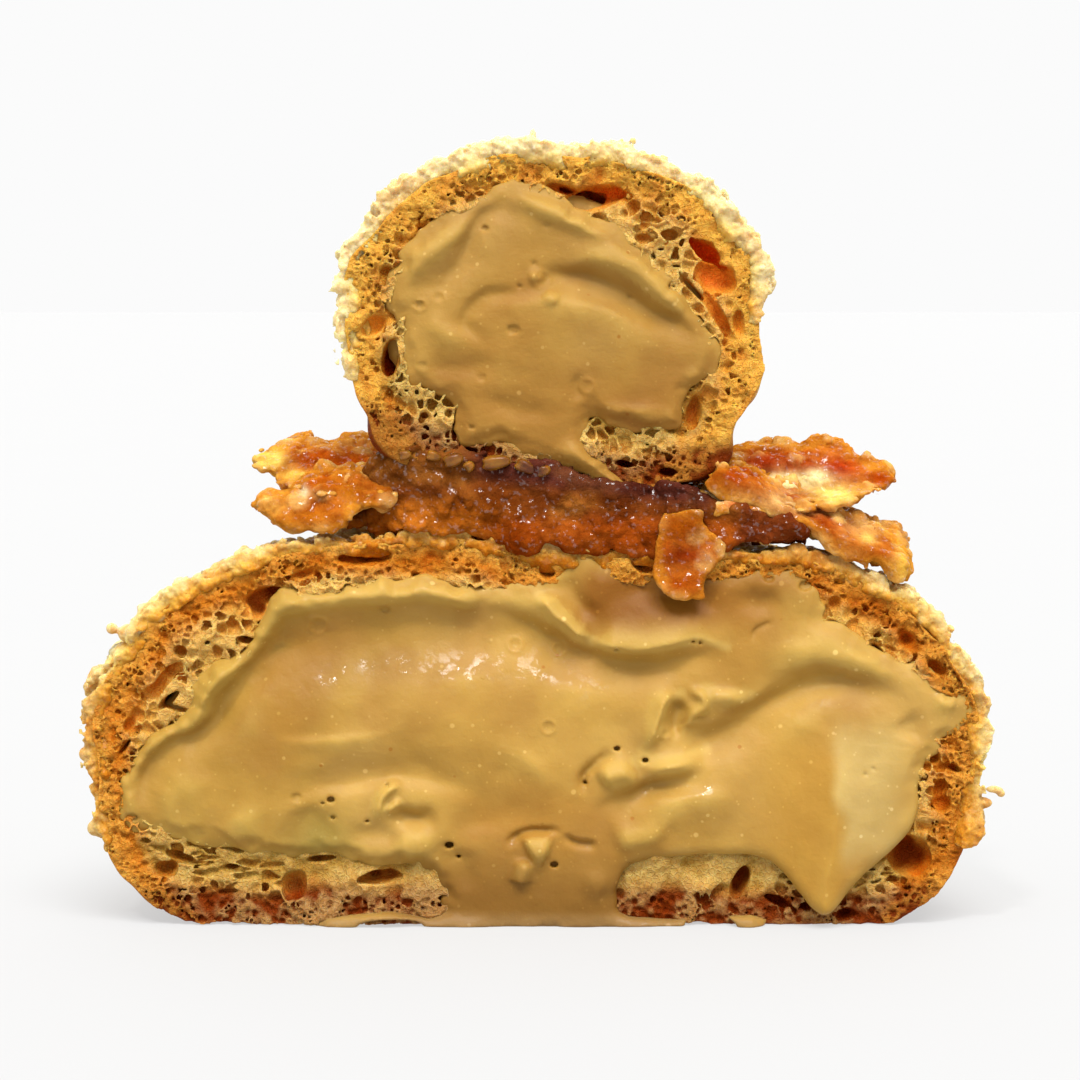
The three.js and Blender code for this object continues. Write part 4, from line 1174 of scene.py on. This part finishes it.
def craquelin_paint(bun, coat, seed, toasted):
    """Straw to gold, with darker cracks; paler on the grain tips and darker gold in the gaps between grains, partly
    the crust's own colour and partly painted highlight and painted shade; toasted(x, y, z) says where it is browner.
    """

    def paint(x, y, z):
        height = form_distance(bun, x, y, z)
        slow, fine = noise_at(x, y, z, 2.6, 91), noise_at(x, y, z, 0.9, 92)
        # Paler further out from the bun: at the cut this is the sugar's own colour, on the surface it also paints a
        # highlight on the grain tips and shade in the hollows.
        colour = graded(height + coat["pale"] + 0.25 * fine, [
            (-0.9, seen(222, 144, 52)), (-0.3, seen(232, 164, 66)), (0.4, seen(242, 194, 98)),
            (1.0, seen(246, 220, 150)), (2.0, seen(248, 230, 182)),
        ])
        away, own = cells(x, y, z, GRAINS[1][0], seed + 2)
        # Darker gold in the gaps between grains: the crust's cracks and painted shade.
        colour = mixed(colour, seen(224, 152, 58), coat["gold"] * ease(away, 0.45, 0.8))
        colour = mixed(colour, seen(238, 172, 74), 0.8 * coat["gold"] * ease(slow, 0.2, 0.9))
        # Palest on the middles of some grains: pale sugar with a painted highlight.
        colour = mixed(colour, seen(250, 236, 186), 0.6 * ease(own, 0.7, 1.0) * ease(away, 0.5, 0.2))
        brown = np.clip(toasted(x, y, z) + 0.2 * slow, 0, 1)
        return coat["bright"] * mixed(colour, colour * (0.74, 0.5, 0.26), brown)

    return paint


def craquelin_piece(name, bun, coat, box, seed, triangles, nodes, extra, toasted):
    (x0, _, _), (x1, y1, z1) = box
    z0 = coat["edge"] - 3 - coat["lean"] * x1
    seam = CUT_Y + 2.6
    front = Grid((x0 - 1, CUT_Y - 1.2, z0), (x1 + 1.4, seam + 2 * GRID_FRONT, z1 + 0.8), GRID_FRONT)
    back = Grid((x0 - 1, seam - 2 * GRID_BACK, z0), (x1 + 1, y1 + 0.6, z1 + 0.8), GRID_BACK)
    parts = []
    for grid, y, side, share in ((front, seam, -1, 0.45), (back, seam - LAP, 1, 0.55)):
        made = opened(polygons(craquelin_field(bun, coat, grid, extra, seed), grid), y, side)
        parts.append(decimated(*made, int(triangles * share)))
    return finished(name, parts, CRAQUELIN, nodes, craquelin_paint(bun, coat, seed, toasted))


# ------------------------------------------------------------------ cream


def flat_noise(x, z, size, seed):
    """Noise over the cut plane."""
    return noise([x[:, 0], np.array([CUT_Y]), z[0]], size, seed)[:, 0]


def cream_relief(strokes, rings, bulge, x, z, seed):
    """How far the cream's face stands in front of the cut, over the cut plane."""
    wx = x + 0.3 * flat_noise(x, z, 3.0, seed + 4) + 0.1 * flat_noise(x, z, 0.9, seed + 6)
    wz = z + 0.3 * flat_noise(x, z, 3.0, seed + 5) + 0.1 * flat_noise(x, z, 0.9, seed + 7)
    out = np.exp(-(((x - bulge["x"]) / bulge["wide"]) ** 2 + ((z - bulge["z"]) / bulge["high"]) ** 2))
    relief = bulge["proud"] + bulge["lift"] * out + stroke_relief(strokes, wx, wz)
    for rx, rz, radius in rings:
        away = np.hypot(x - rx, z - rz) / radius
        relief += 0.1 * np.exp(-((away - 1) ** 2) / 0.05) - 0.1 * np.exp(-(away**2) / 0.4)
    return (relief + 0.14 * flat_noise(x, z, 4.5, seed) + 0.08 * flat_noise(x, z, 1.8, seed + 1)
            + 0.035 * flat_noise(x, z, 0.8, seed + 2))


# Where the cream is wet and shines: place and half sizes.
WET_PATCHES = [(-5.0, 21.8, 4.4, 1.3), (0.4, 21.8, 1.6, 1.0), (10.8, 11.4, 1.4, 0.6), (14.0, 11.8, 1.2, 0.7),
               (-17.6, 21.4, 0.9, 0.4), (-14.4, 22.3, 0.6, 0.4), (-26.0, 14.1, 0.4, 0.4), (3.8, 20.0, 1.4, 0.8)]


def blurred(values, sigma):
    """A map smoothed over about sigma samples."""
    padded = np.pad(values, int(3 * sigma), mode="edge")
    fx = np.fft.fftfreq(padded.shape[0])[:, None]
    fz = np.fft.rfftfreq(padded.shape[1])[None, :]
    soft = np.fft.irfft2(np.fft.rfft2(padded) * np.exp(-2 * (math.pi * sigma) ** 2 * (fx**2 + fz**2)), padded.shape)
    edge = int(3 * sigma)
    return soft[edge:-edge, edge:-edge]


def puddle_field(grid):
    """Cream that ran out on the table along the foot of the cut."""
    along = np.maximum(np.abs(grid.x - 0.3) - 18.0, 0)
    wave = noise([grid.axes[0], np.array([CUT_Y]), np.array([0.0])], 2.6, 77)
    top = 0.8 + 0.35 * wave - 0.3 * along
    front = CUT_Y - 1.15 - 0.5 * wave + 0.6 * along
    body = smooth_cut(smooth_cut(grid.z - top, front - grid.y, 0.9), grid.y - (CUT_Y + 0.8), 0.3)
    for x, across, high in ((0.9, 1.2, 1.2), (14.8, 2.2, 0.9), (-12.4, 2.8, 0.7), (20.6, 1.2, 0.5)):
        arch = (np.sqrt(((grid.x - x) / across) ** 2 + (grid.z / high) ** 2) - 1) * high
        body = smooth_cut(body, -arch + 0 * grid.y, 0.3)
    return body


RIM_LEVEL = -0.15  # how far the cream stands out at its rim, where it sinks into the crumb
RIM_WIDTH = 1.7


def cream_piece(name, cavity, edge, strokes, rings, bulge, pits, puddle, box, seed, nodes, triangles, material):
    """The filling: a modelled face at the cut, and the body that fills the bun behind it."""
    (x0, y0, z0), (x1, y1, z1) = box
    grid = Grid((x0 - 1.4, y0 - 1.6, z0 - 0.6), (x1 + 1.4, CUT_Y + 2.2, z1 + 1), GRID_FRONT)
    x, z = grid.axes[0][:, None], grid.axes[2][None, :]
    wander = flat_noise(x, z, 1.5, seed + 3)
    clean = ease(x, 4, 8) * ease(z, 15, 9) if puddle else 0 * x * z  # where the cream hangs over its edge
    ragged = 0.26 * wander + 0.22 * flat_noise(x, z, 0.7, seed + 8) + 0.1 * flat_noise(x, z, 0.42, seed + 12)
    rim = outline_distance(rounded(edge), x, z) + ragged * (1 - 0.85 * clean)
    thin = ease(-rim, -0.3, RIM_WIDTH)
    relief = cream_relief(strokes, rings, bulge, x, z, seed)
    relief = RIM_LEVEL + (relief - RIM_LEVEL) * (thin + (1 - thin) * clean)
    slope = np.gradient(relief, grid.step)
    steep = np.sqrt(1 + slope[0] ** 2 + slope[1] ** 2)
    face = (CUT_Y - relief[:, None, :] - grid.y) / steep[:, None, :]
    field = smooth_cut(face, rim[:, None, :] + 0 * grid.y, 0.3 + 0.9 * clean[:, None, :])
    if puddle:
        field = smooth_union(field, puddle_field(grid), 0.8)
    field = np.maximum(field, grid.y - (CUT_Y + 1.9))
    for px, pz, radius, deep in pits:
        found = grid.window(np.array([px, CUT_Y - 1, pz]), 4)
        part, (dx, _, dz) = found
        front = CUT_Y - relief[part[0], part[2]][:, None, :]
        hole = np.sqrt(dx**2 + (1.3 * dz) ** 2) - radius * (1 + 0.6 * ragged[part[0], part[2]][:, None, :])
        hole = np.maximum(hole, grid.y[:, part[1]] - front - deep)
        field[part] = smooth_cut(field[part], -hole, 0.22)
    face_part = decimated(*polygons(closed(np.maximum(field, -grid.z)), grid), triangles)
    back = Grid((x0, CUT_Y + 1.2, z0), (x1, y1 + 1, z1 + 1), GRID_HIDDEN)
    body_part = polygons(closed(form_distance(cavity, back.x, back.y, back.z) + 0.5), back)
    # How far each place lies below its smoothed surroundings: for painted shade in the hollows and a painted
    # highlight on what stands proud.
    shade = blurred(relief, 1.5 / grid.step) - blurred(relief, 0.2 / grid.step)

    def paint(px, py, pz):
        i = np.clip(((px - grid.low[0]) / grid.step).round().astype(int), 0, grid.shape[0] - 1)
        k = np.clip(((pz - grid.low[2]) / grid.step).round().astype(int), 0, grid.shape[2] - 1)
        hollow = shade[i, k]
        slow, patchy = noise_at(px, py, pz, 5.0, seed + 9), noise_at(px, py, pz, 1.9, seed + 14)
        colour = mixed(seen(213, 165, 81) + np.zeros((len(px), 3)), seen(217, 171, 91), ease(slow, 0.0, 1.0))
        colour = mixed(colour, seen(202, 149, 70), ease(slow, 0.0, -1.0))
        colour = mixed(colour, seen(228, 182, 92), 0.4 * ease(patchy + 0.4 * slow, 0.2, 1.0))
        colour = mixed(colour, seen(194, 142, 72), 0.4 * ease(patchy + 0.4 * slow, -0.2, -1.0))
        # painted shade in the hollows of the relief, and a painted highlight where it stands proud
        colour = mixed(colour, seen(196, 152, 76), 0.15 * ease(hollow, 0.05, 0.7))
        colour = mixed(colour, seen(230, 188, 98), 0.8 * ease(hollow, -0.05, -0.5))
        fringe = ease(-rim[i, k] + 0.4 * noise_at(px, py, pz, 0.8, seed + 13), 1.2, 0.1)
        colour = mixed(colour, seen(228, 182, 92), 0.6 * fringe)
        if puddle:
            colour = mixed(colour, seen(162, 116, 56), ease(pz, 8.0, 3.0) * ease(np.abs(px), 17, 9))
            colour = mixed(colour, seen(176, 138, 86), 0.8 * ease(pz, 1.6, 0.4))
            smear = np.exp(-(((px - 20.5) / 3.2) ** 2 + ((pz - 29.2) / 1.5) ** 2))
            colour = mixed(colour, seen(158, 104, 46), 0.6 * smear)
            olive = np.exp(-(((px + 18.5) / 3.0) ** 2 + ((pz - 7.6) / 2.4) ** 2))
            colour = mixed(colour, seen(172, 148, 74), 0.8 * olive)
            across = px + 0.35 * noise_at(px, py, pz, 1.6, seed + 11)
            amber = ease(px, 16, 22) * ease(across, 26.2, 24.8) * ease(pz, 18, 14)
            colour = mixed(colour, seen(210, 156, 66), 0.6 * amber)
            lit = ease(across, 24.6, 26.0) * ease(px, 33, 29) * ease(pz, 18.8, 15.6) * ease(pz, 4, 8)
            colour = mixed(colour, seen(230, 198, 124), 0.7 * lit)
            # painted shade in the wide trough under the upper left lip
            lip_trough_shade = np.exp(-(((px + 15.5) / 6.5) ** 2 + ((pz - 25.8 - 0.25 * px) / 2.8) ** 2))
            colour = mixed(colour, colour * (0.8, 0.78, 0.68), lip_trough_shade)
            colour = mixed(colour, colour * (0.92, 0.92, 0.84), ease(px, -16, -24))
            flap = ease(px, 2.6, 5.0) * ease(px, 22, 13) * ease(pz, 24.4, 27.0) * ease(pz, 32.0, 29.0)
            colour = mixed(colour, seen(158, 99, 28), 0.9 * flap)
            # painted highlight along the thin crests
            for crest in LIT_CRESTS:
                away = np.sqrt(nearest_on_path(crest, px, pz)[0]) + 0.2 * patchy
                colour = mixed(colour, seen(234, 192, 104), 0.75 * ease(away, 0.75, 0.2))
        else:
            colour = colour * (0.87, 0.83, 0.8) * (1 - np.outer(ease(pz, 50, 43), (0.12, 0.22, 0.34)))
        wet = 0.12 * ease(noise_at(px, py, pz, 2.2, seed + 10), 0.3, 0.9)
        for wx, wz, across, high in WET_PATCHES:
            wet = np.maximum(wet, np.exp(-((px - wx) / across) ** 2 - ((pz - wz) / high) ** 2))
        return np.column_stack([colour, wet])

    return finished(name, [face_part, body_part], material, nodes, paint)


# ------------------------------------------------------------------ caramel and brittle


def clear_of_buns(field, x, y, z, gap=0.1):
    """The field without what the two buns take up."""
    for bun in (BASE_BUN, TOP_BUN):
        solid = np.maximum(form_distance(bun, x, y, z) - gap, bun["floor"] - gap - z)
        field = np.maximum(field, -np.maximum(solid, CUT_Y + 0.15 - y))
    return field


def from_front(x, y, z):
    """Where the camera sees a point over the cut plane, as (x, z)."""
    share = (CUT_Y - EYE[1]) / (y - EYE[1])
    return EYE[0] + (x - EYE[0]) * share, EYE[2] + (z - EYE[2]) * share


# Seeds that show at the rim of the caramel: place, half length, half height and tilt.
SEEDS_AT_RIM = [(-11.0, 40.1, 0.6, 0.4, 10), (-8.6, 40.0, 0.7, 0.4, -14), (-6.9, 39.7, 0.85, 0.6, 20),
                (-5.6, 39.2, 0.5, 0.4, 40), (-3.3, 39.5, 1.25, 0.65, 8), (-0.9, 39.1, 0.95, 0.55, -24),
                (0.6, 38.8, 0.7, 0.45, 12)]
# What shows of the caramel from the front, as (x, z) round its outline.
CARAMEL_EDGE = [
    (-14.6, 38.6), (-13.9, 39.8), (-13.2, 40.1), (-12.2, 39.8), (-11.0, 40.3), (-9.0, 40.2), (-6.0, 40.1),
    (-2.0, 39.7), (1.0, 39.0), (4.0, 38.2), (7.0, 37.7), (10.0, 37.6), (12.5, 37.2), (14.2, 36.4),
    (15.6, 35.7), (17.4, 35.5), (19.0, 35.4), (21.0, 34.7), (23.2, 33.7), (22.6, 33.0), (20.0, 32.9),
    (18.2, 33.1), (17.0, 32.7), (16.0, 31.9), (14.0, 31.2), (11.0, 31.0), (9.4, 31.6), (8.0, 32.0),
    (6.0, 32.1), (4.0, 32.2), (2.0, 32.4), (-2.0, 32.5), (-4.0, 32.9), (-5.0, 33.3), (-7.0, 33.7),
    (-10.0, 33.9), (-12.0, 34.0), (-14.4, 34.2), (-16.2, 34.1), (-17.4, 34.6), (-16.0, 35.0), (-14.6, 36.0),
    (-14.9, 37.4),
]
CARAMEL_LUMPS = [(1.9, 0.5, 0.75), (0.8, 0.22, 0.65)]
NUT_LUMPS = [(1.8, 0.42, 0.75), (0.9, 0.3, 0.7)]  # seeds under the glaze: size, height, spread


def caramel_paint(x, y, z):
    slow, fine = noise_at(x, y, z, 2.4, 65), noise_at(x, y, z, 0.8, 66)
    colour = mixed(seen(130, 71, 44) + np.zeros((len(x), 3)), seen(170, 104, 54), ease(slow + 0.6 * fine, -0.2, 0.8))
    colour = mixed(colour, seen(190, 108, 46), 0.8 * ease(z, 37.4, 35.0) * ease(x, 1, -7))
    colour = mixed(colour, seen(176, 84, 30), 0.7 * ease(z, 35.6, 34.0) * ease(x, -6, -2))
    colour = mixed(colour, seen(150, 96, 52), 0.6 * ease(x, -4, -7) * ease(z, 37.0, 38.2))
    # painted shadow of the small bun on the caramel under it
    top_bun_shadow = ease(z + 0.12 * x, 36.8, 38.2) * ease(x, -8, -3) * ease(x, 15.5, 14) * ease(y, CUT_Y + 4, CUT_Y + 2)
    colour = mixed(colour, seen(88, 54, 54), 0.75 * top_bun_shadow)
    colour = mixed(colour, seen(124, 64, 46), 0.8 * ease(x, 16.4, 17.4) * ease(y, CUT_Y + 4, CUT_Y + 2))
    # painted shade in the hollow under the edge of the front left shard
    hollow = np.exp(-(((x + 15.2) / 1.2) ** 2 + ((z - 35.2) / 0.8) ** 2))
    return mixed(colour, seen(70, 24, 8), 0.8 * hollow)


def caramel_piece(box):
    """The bed of caramel: a broken face at the cut, and the soft bed behind it."""
    (x0, y0, z0), (x1, y1, z1) = box
    grid = Grid((x0 - 2.4, y0 - 2.2, z0 - 1.4), (x1 + 5, y1 + 1, z1 + 1.2), GRID_GLAZE)
    bed = form_distance(CARAMEL, grid.x, grid.y, grid.z)
    roof = grid.z - 39.4 + 0.13 * np.abs(grid.x + 2) + 0.3 * noise(grid.axes, 2.0, 69)
    roof = roof + 0.25 * np.maximum(grid.x - 6, 0) * ease(grid.y, CUT_Y + 9, CUT_Y + 5)
    bed = smooth_cut(bed, roof, 0.8) + 0.4 * noise(grid.axes, 2.6, 61) + 0.22 * noise(grid.axes, 1.1, 62)
    foot = -0.9 - form_distance(BASE_BUN, grid.x, grid.y, grid.z) + 0.4 * noise(grid.axes, 1.6, 68)
    side = np.abs(grid.x - CARAMEL["centre"][0]) - 13.4 - 0.7 * (grid.y - CUT_Y - 1.5)
    bed = smooth_cut(smooth_cut(smooth_cut(bed, foot, 0.4), CUT_Y + 1.5 - grid.y, 1.0), side, 1.0)
    x, z = grid.x[:, 0, :], grid.z[0]
    x, z = np.broadcast_arrays(x, z)
    rim = outline_distance(rounded(CARAMEL_EDGE), x, z) + 0.25 * flat_noise(x, z, 1.2, 67)
    face = 0.4 + 0.3 * flat_noise(x, z, 2.4, 70) + 0.16 * flat_noise(x, z, 1.1, 71) - 3.0 * ease(x, -10.5, -15.5)
    front = CUT_Y - face[:, None, :] - grid.y
    sheet = smooth_cut(np.maximum(rim[:, None, :], grid.y - CUT_Y - 3.2), front, 0.9)
    field = grained(smooth_union(sheet, bed, 1.0), grid, CARAMEL_LUMPS, 64)
    field = clear_of_buns(field, grid.x, grid.y, grid.z)
    field += 0.045 * noise(grid.axes, 0.55, 63)
    part = decimated(*polygons(closed(field), grid), 75000)
    return finished("caramel", [part], CARAMEL_GLOSS, ["caramel_bed"], caramel_paint)


def seeds_piece():
    """The candied seeds that show at the rim of the caramel."""
    grid = Grid((-13, CUT_Y - 2.4, 37.4), (3, CUT_Y + 0.8, 41.6), 0.09 * COARSE)
    field = np.full(grid.shape, 1.0, np.float32)
    for x, z, half, high, tilt in SEEDS_AT_RIM:
        turn = math.radians(tilt)
        along = (grid.x - x) * math.cos(turn) + (grid.z - z) * math.sin(turn)
        across = (grid.z - z) * math.cos(turn) - (grid.x - x) * math.sin(turn)
        narrow = high * (1 - 0.35 * along / half)
        body = np.sqrt((along / half) ** 2 + ((grid.y - CUT_Y + 0.6) / 0.6) ** 2 + (across / narrow) ** 2) - 1
        ribs = 0.05 * np.cos(across * 9)
        field = smooth_union(field, (body * high + ribs).astype(np.float32), 0.12)
    field += 0.05 * noise(grid.axes, 0.6, 78)
    part = decimated(*polygons(closed(field), grid), 12000)
    return finished("candied_seeds", [part], SEED, [])


def shard_paint(shard, seed):
    """Amber glass with nuts in it, paler near its outline where it is thin: a painted glow of light that comes
    through it.
    """

    def paint(x, y, z):
        seen_x, seen_z = from_front(x, y, z)
        inside = -outline_distance(shard["outline"], seen_x, seen_z)
        slow, fine = noise_at(x, y, z, 2.4, 75), noise_at(x, y, z, 0.8, 76)
        colour = mixed(seen(206, 120, 54) + np.zeros((len(x), 3)), seen(184, 86, 36), ease(slow, 0.0, 0.9))
        # painted glow of light through the thin glass near the outline
        colour = mixed(colour, seen(236, 166, 66), 0.6 * ease(inside + 0.4 * fine, 0.9, 0.1))
        away, own = cells(x, y, z, NUT_LUMPS[0][0], seed)
        colour = mixed(colour, seen(244, 196, 124), 0.75 * ease(own, 0.5, 0.8) * ease(away, 0.7, 0.3))
        # patches of colour; the palest are painted glow and highlights
        for px, pz, across, high, made in shard["patches"]:
            near = np.exp(-((seen_x - px) / across) ** 2 - ((seen_z - pz) / high) ** 2)
            colour = mixed(colour, seen(*made), near)
        return colour

    return paint


def shard_piece(name, shard, seed):
    """A sheet of brittle, tilted and a little wavy, broken off along its outline, with seeds under its glaze."""
    tilt, middle = math.radians(shard["tilt"]), CUT_Y + shard["deep"]
    xs, zs = zip(*shard["outline"])
    reach = (max(zs) - min(zs)) / 2 / math.tan(tilt) + shard["thick"] / math.sin(tilt) + 1
    reach += abs(shard["climb"]) * (max(xs) - min(xs)) / 2
    grid = Grid((min(xs) - 2, middle - reach, min(zs) - 2), (max(xs) + 2, middle + reach, max(zs) + 2), GRID_GLAZE)
    level = grid.z - shard["level"] - shard["climb"] * (grid.x - (max(xs) + min(xs)) / 2)
    plane = level * math.cos(tilt) - (grid.y - middle) * math.sin(tilt) + 0.35 * noise(grid.axes, 3.4, seed + 30)
    plate = np.abs(plane) - shard["thick"] / 2 * (1 + 0.4 * noise(grid.axes, 2.6, seed + 40))
    rim = outline_distance(shard["outline"], *from_front(grid.x, grid.y, grid.z)) + 0.15 * noise(grid.axes, 1.0, seed + 50)
    lumps_here = [(size, shard["lumpy"] * high, spread) for size, high, spread in NUT_LUMPS]
    field = grained(smooth_cut(plate, rim, 0.4), grid, lumps_here, seed) + 0.06 * noise(grid.axes, 0.8, seed + 60)
    if name != "brittle_chip":
        field = smooth_cut(clear_of_buns(field, grid.x, grid.y, grid.z), CUT_Y - 0.7 - grid.y, 0.5)
    part = decimated(*polygons(closed(field), grid), 24000)
    return finished(name + "_glazed", [part], BRITTLE, [name], shard_paint(shard, seed))


# ------------------------------------------------------------------ the whole pastry

WIDE = 0.8  # room left round a CAD node's box on a grid
base_low, base_high = node_box("base_shell")
top_low, top_high = node_box("top_shell")
base_box = (base_low - WIDE, base_high + WIDE)
top_box = (top_low - WIDE, top_high + WIDE)


def base_toasted(x, y, z):
    """Browned most under the caramel and on the right."""
    near = np.exp(-((x - 1) ** 2 + (y - CUT_Y) ** 2) / 19**2) * ease(z, 20, 29)
    under = ease(x, -18, -14) * ease(x, 26, 22) * ease(y, CUT_Y + 5, CUT_Y + 2) * ease(z, 29, 31)
    return np.maximum(0.4 * near, under) + 0.3 * ease(x, 12, 28) + 0.6 * ease(x, -28, -35) * ease(z, 24, 17)


def top_toasted(x, y, z):
    return 0.2 * ease(z, 56, 51) * ease(x, 4, 16)


CRUMBS_ON_EDGE = [((38.9, CUT_Y + 0.6, 11.6), (0.7, 0.5, 0.3)), ((39.5, CUT_Y + 0.6, 11.2), (0.35, 0.3, 0.3)),
                  ((37.9, CUT_Y + 0.8, 10.4), (0.9, 0.6, 0.5)), ((-36.4, CUT_Y + 1.2, 20.6), (0.8, 0.8, 0.5)),
                  ((-34.6, CUT_Y + 1.0, 24.9), (0.9, 0.9, 0.8)), ((-36.0, CUT_Y + 1.0, 25.3), (0.5, 0.5, 0.5)),
                  ((-37.6, CUT_Y + 1.0, 8.2), (0.7, 0.6, 0.7)), ((-38.4, CUT_Y + 0.8, 14.6), (0.5, 0.5, 0.6)),
                  ((18.2, CUT_Y + 0.4, 33.2), (0.6, 0.5, 0.4)), ((19.2, CUT_Y + 0.3, 32.8), (0.5, 0.5, 0.35)),
                  ((22.0, CUT_Y + 0.4, 32.2), (0.8, 0.6, 0.45)), ((23.6, CUT_Y + 0.6, 31.6), (0.6, 0.5, 0.4)),
                  ((25.0, CUT_Y + 0.4, 30.9), (0.45, 0.5, 0.4))]
CRUMBS_ON_TOP = [((-0.3, CUT_Y + 1.0, 66.6), (0.3, 0.3, 0.8)), ((-0.6, CUT_Y + 1.0, 66.2), (0.5, 0.4, 0.4)),
                 ((10.2, CUT_Y + 1.6, 64.0), (0.8, 0.8, 0.7)), ((13.2, CUT_Y + 1.6, 62.4), (0.9, 0.9, 0.8)),
                 ((-11.8, CUT_Y + 1.2, 61.6), (0.9, 0.9, 0.7))]

# The last colour factor paints shade deep in the big bun's bubbles.
crumb_piece("base_crumb", BASE_BUN, BASE_CAVITY, BASE_CREAM_EDGE, BASE_BUBBLES, base_box, 11, ["base_shell"],
            175000, crumb_paint(BASE_BUN, 2.8, 0, (16, 30), seen(204, 130, 54), 0.5, seen(236, 180, 90),
                                (0.55, 0.22, 0.1)))
# The last colour factor paints a red glow of light through the crumb deep in the small bun's bubbles.
crumb_piece("top_crumb", TOP_BUN, TOP_CAVITY, TOP_CREAM_EDGE, TOP_BUBBLES, top_box, 21, ["top_shell"],
            110000, crumb_paint(TOP_BUN, 2.3, 0.3, (-20, -19), seen(255, 204, 98), 0.8, seen(255, 214, 120),
                                (1.4, 0.46, 0.18)))
craquelin_piece("base_sugar_crust", BASE_BUN, BASE_COAT, base_box, 31, 170000, ["base_shell"],
                CRUMBS_ON_EDGE, base_toasted)
craquelin_piece("top_sugar_crust", TOP_BUN, TOP_COAT, top_box, 36, 100000, ["top_shell"],
                CRUMBS_ON_TOP, top_toasted)
cream_piece("base_filling", BASE_CAVITY, BASE_CREAM_EDGE, BASE_STROKES, BASE_RINGS,
            dict(x=-2, z=12, wide=26, high=10, lift=1.0, proud=0.3), BASE_PITS, True,
            node_box("base_cream"), 51, ["base_cream"], 100000, CREAM)
cream_piece("top_filling", TOP_CAVITY, TOP_CREAM_EDGE, TOP_STROKES, TOP_RINGS,
            dict(x=1, z=50, wide=11, high=9, lift=0.8, proud=0.25), TOP_PITS, False,
            node_box("top_cream"), 56, ["top_cream"], 50000, MATT_CREAM)
caramel_piece(node_box("caramel_bed"))
seeds_piece()
for number, (name, shard) in enumerate(SHARDS.items()):
    shard_piece(name, shard, 70 + number)


# ------------------------------------------------------------------ table, light and camera

def sun(name, azimuth, elevation, strength, spread):
    """A lamp infinitely far away: azimuth from the front towards +X, elevation and spread in
    degrees."""
    lamp = bpy.data.lights.new(name, "SUN")
    lamp.energy = strength
    lamp.angle = math.radians(spread)
    made = bpy.data.objects.new(name, lamp)
    turn, rise = math.radians(azimuth), math.radians(elevation)
    towards = Vector((math.sin(turn) * math.cos(rise), -math.cos(turn) * math.cos(rise), math.sin(rise)))
    made.rotation_euler = towards.to_track_quat("Z", "Y").to_euler()
    bpy.context.scene.collection.objects.link(made)


def make_stage():
    bpy.ops.mesh.primitive_plane_add(size=40)
    table = bpy.context.object
    table.name = "table"
    table.data.materials.append(TABLE)
    world = bpy.data.worlds.new("white_studio")
    world.use_nodes = True
    world.node_tree.nodes["Background"].inputs["Color"].default_value = opaque(srgb(251, 251, 251))
    world.node_tree.nodes["Background"].inputs["Strength"].default_value = 1.0
    bpy.context.scene.world = world
    sun("overhead_softbox", 14, 56, 3.5, 34)
    sun("window", -24, 52, 1.2, 7)
    sun("back_light", 165, 40, 0.3, 50)


def make_camera():
    camera = bpy.data.cameras.new("camera")
    camera.lens, camera.sensor_width = FOCAL, SENSOR
    camera.clip_start, camera.clip_end = 0.01, 60
    made = bpy.data.objects.new("camera", camera)
    made.location = Vector(EYE) * MM
    made.rotation_euler = (Vector(TARGET) * MM - made.location).to_track_quat("-Z", "Y").to_euler()
    bpy.context.scene.collection.objects.link(made)
    bpy.context.scene.camera = made


make_stage()
make_camera()
bpy.context.scene.view_settings.view_transform = "Standard"
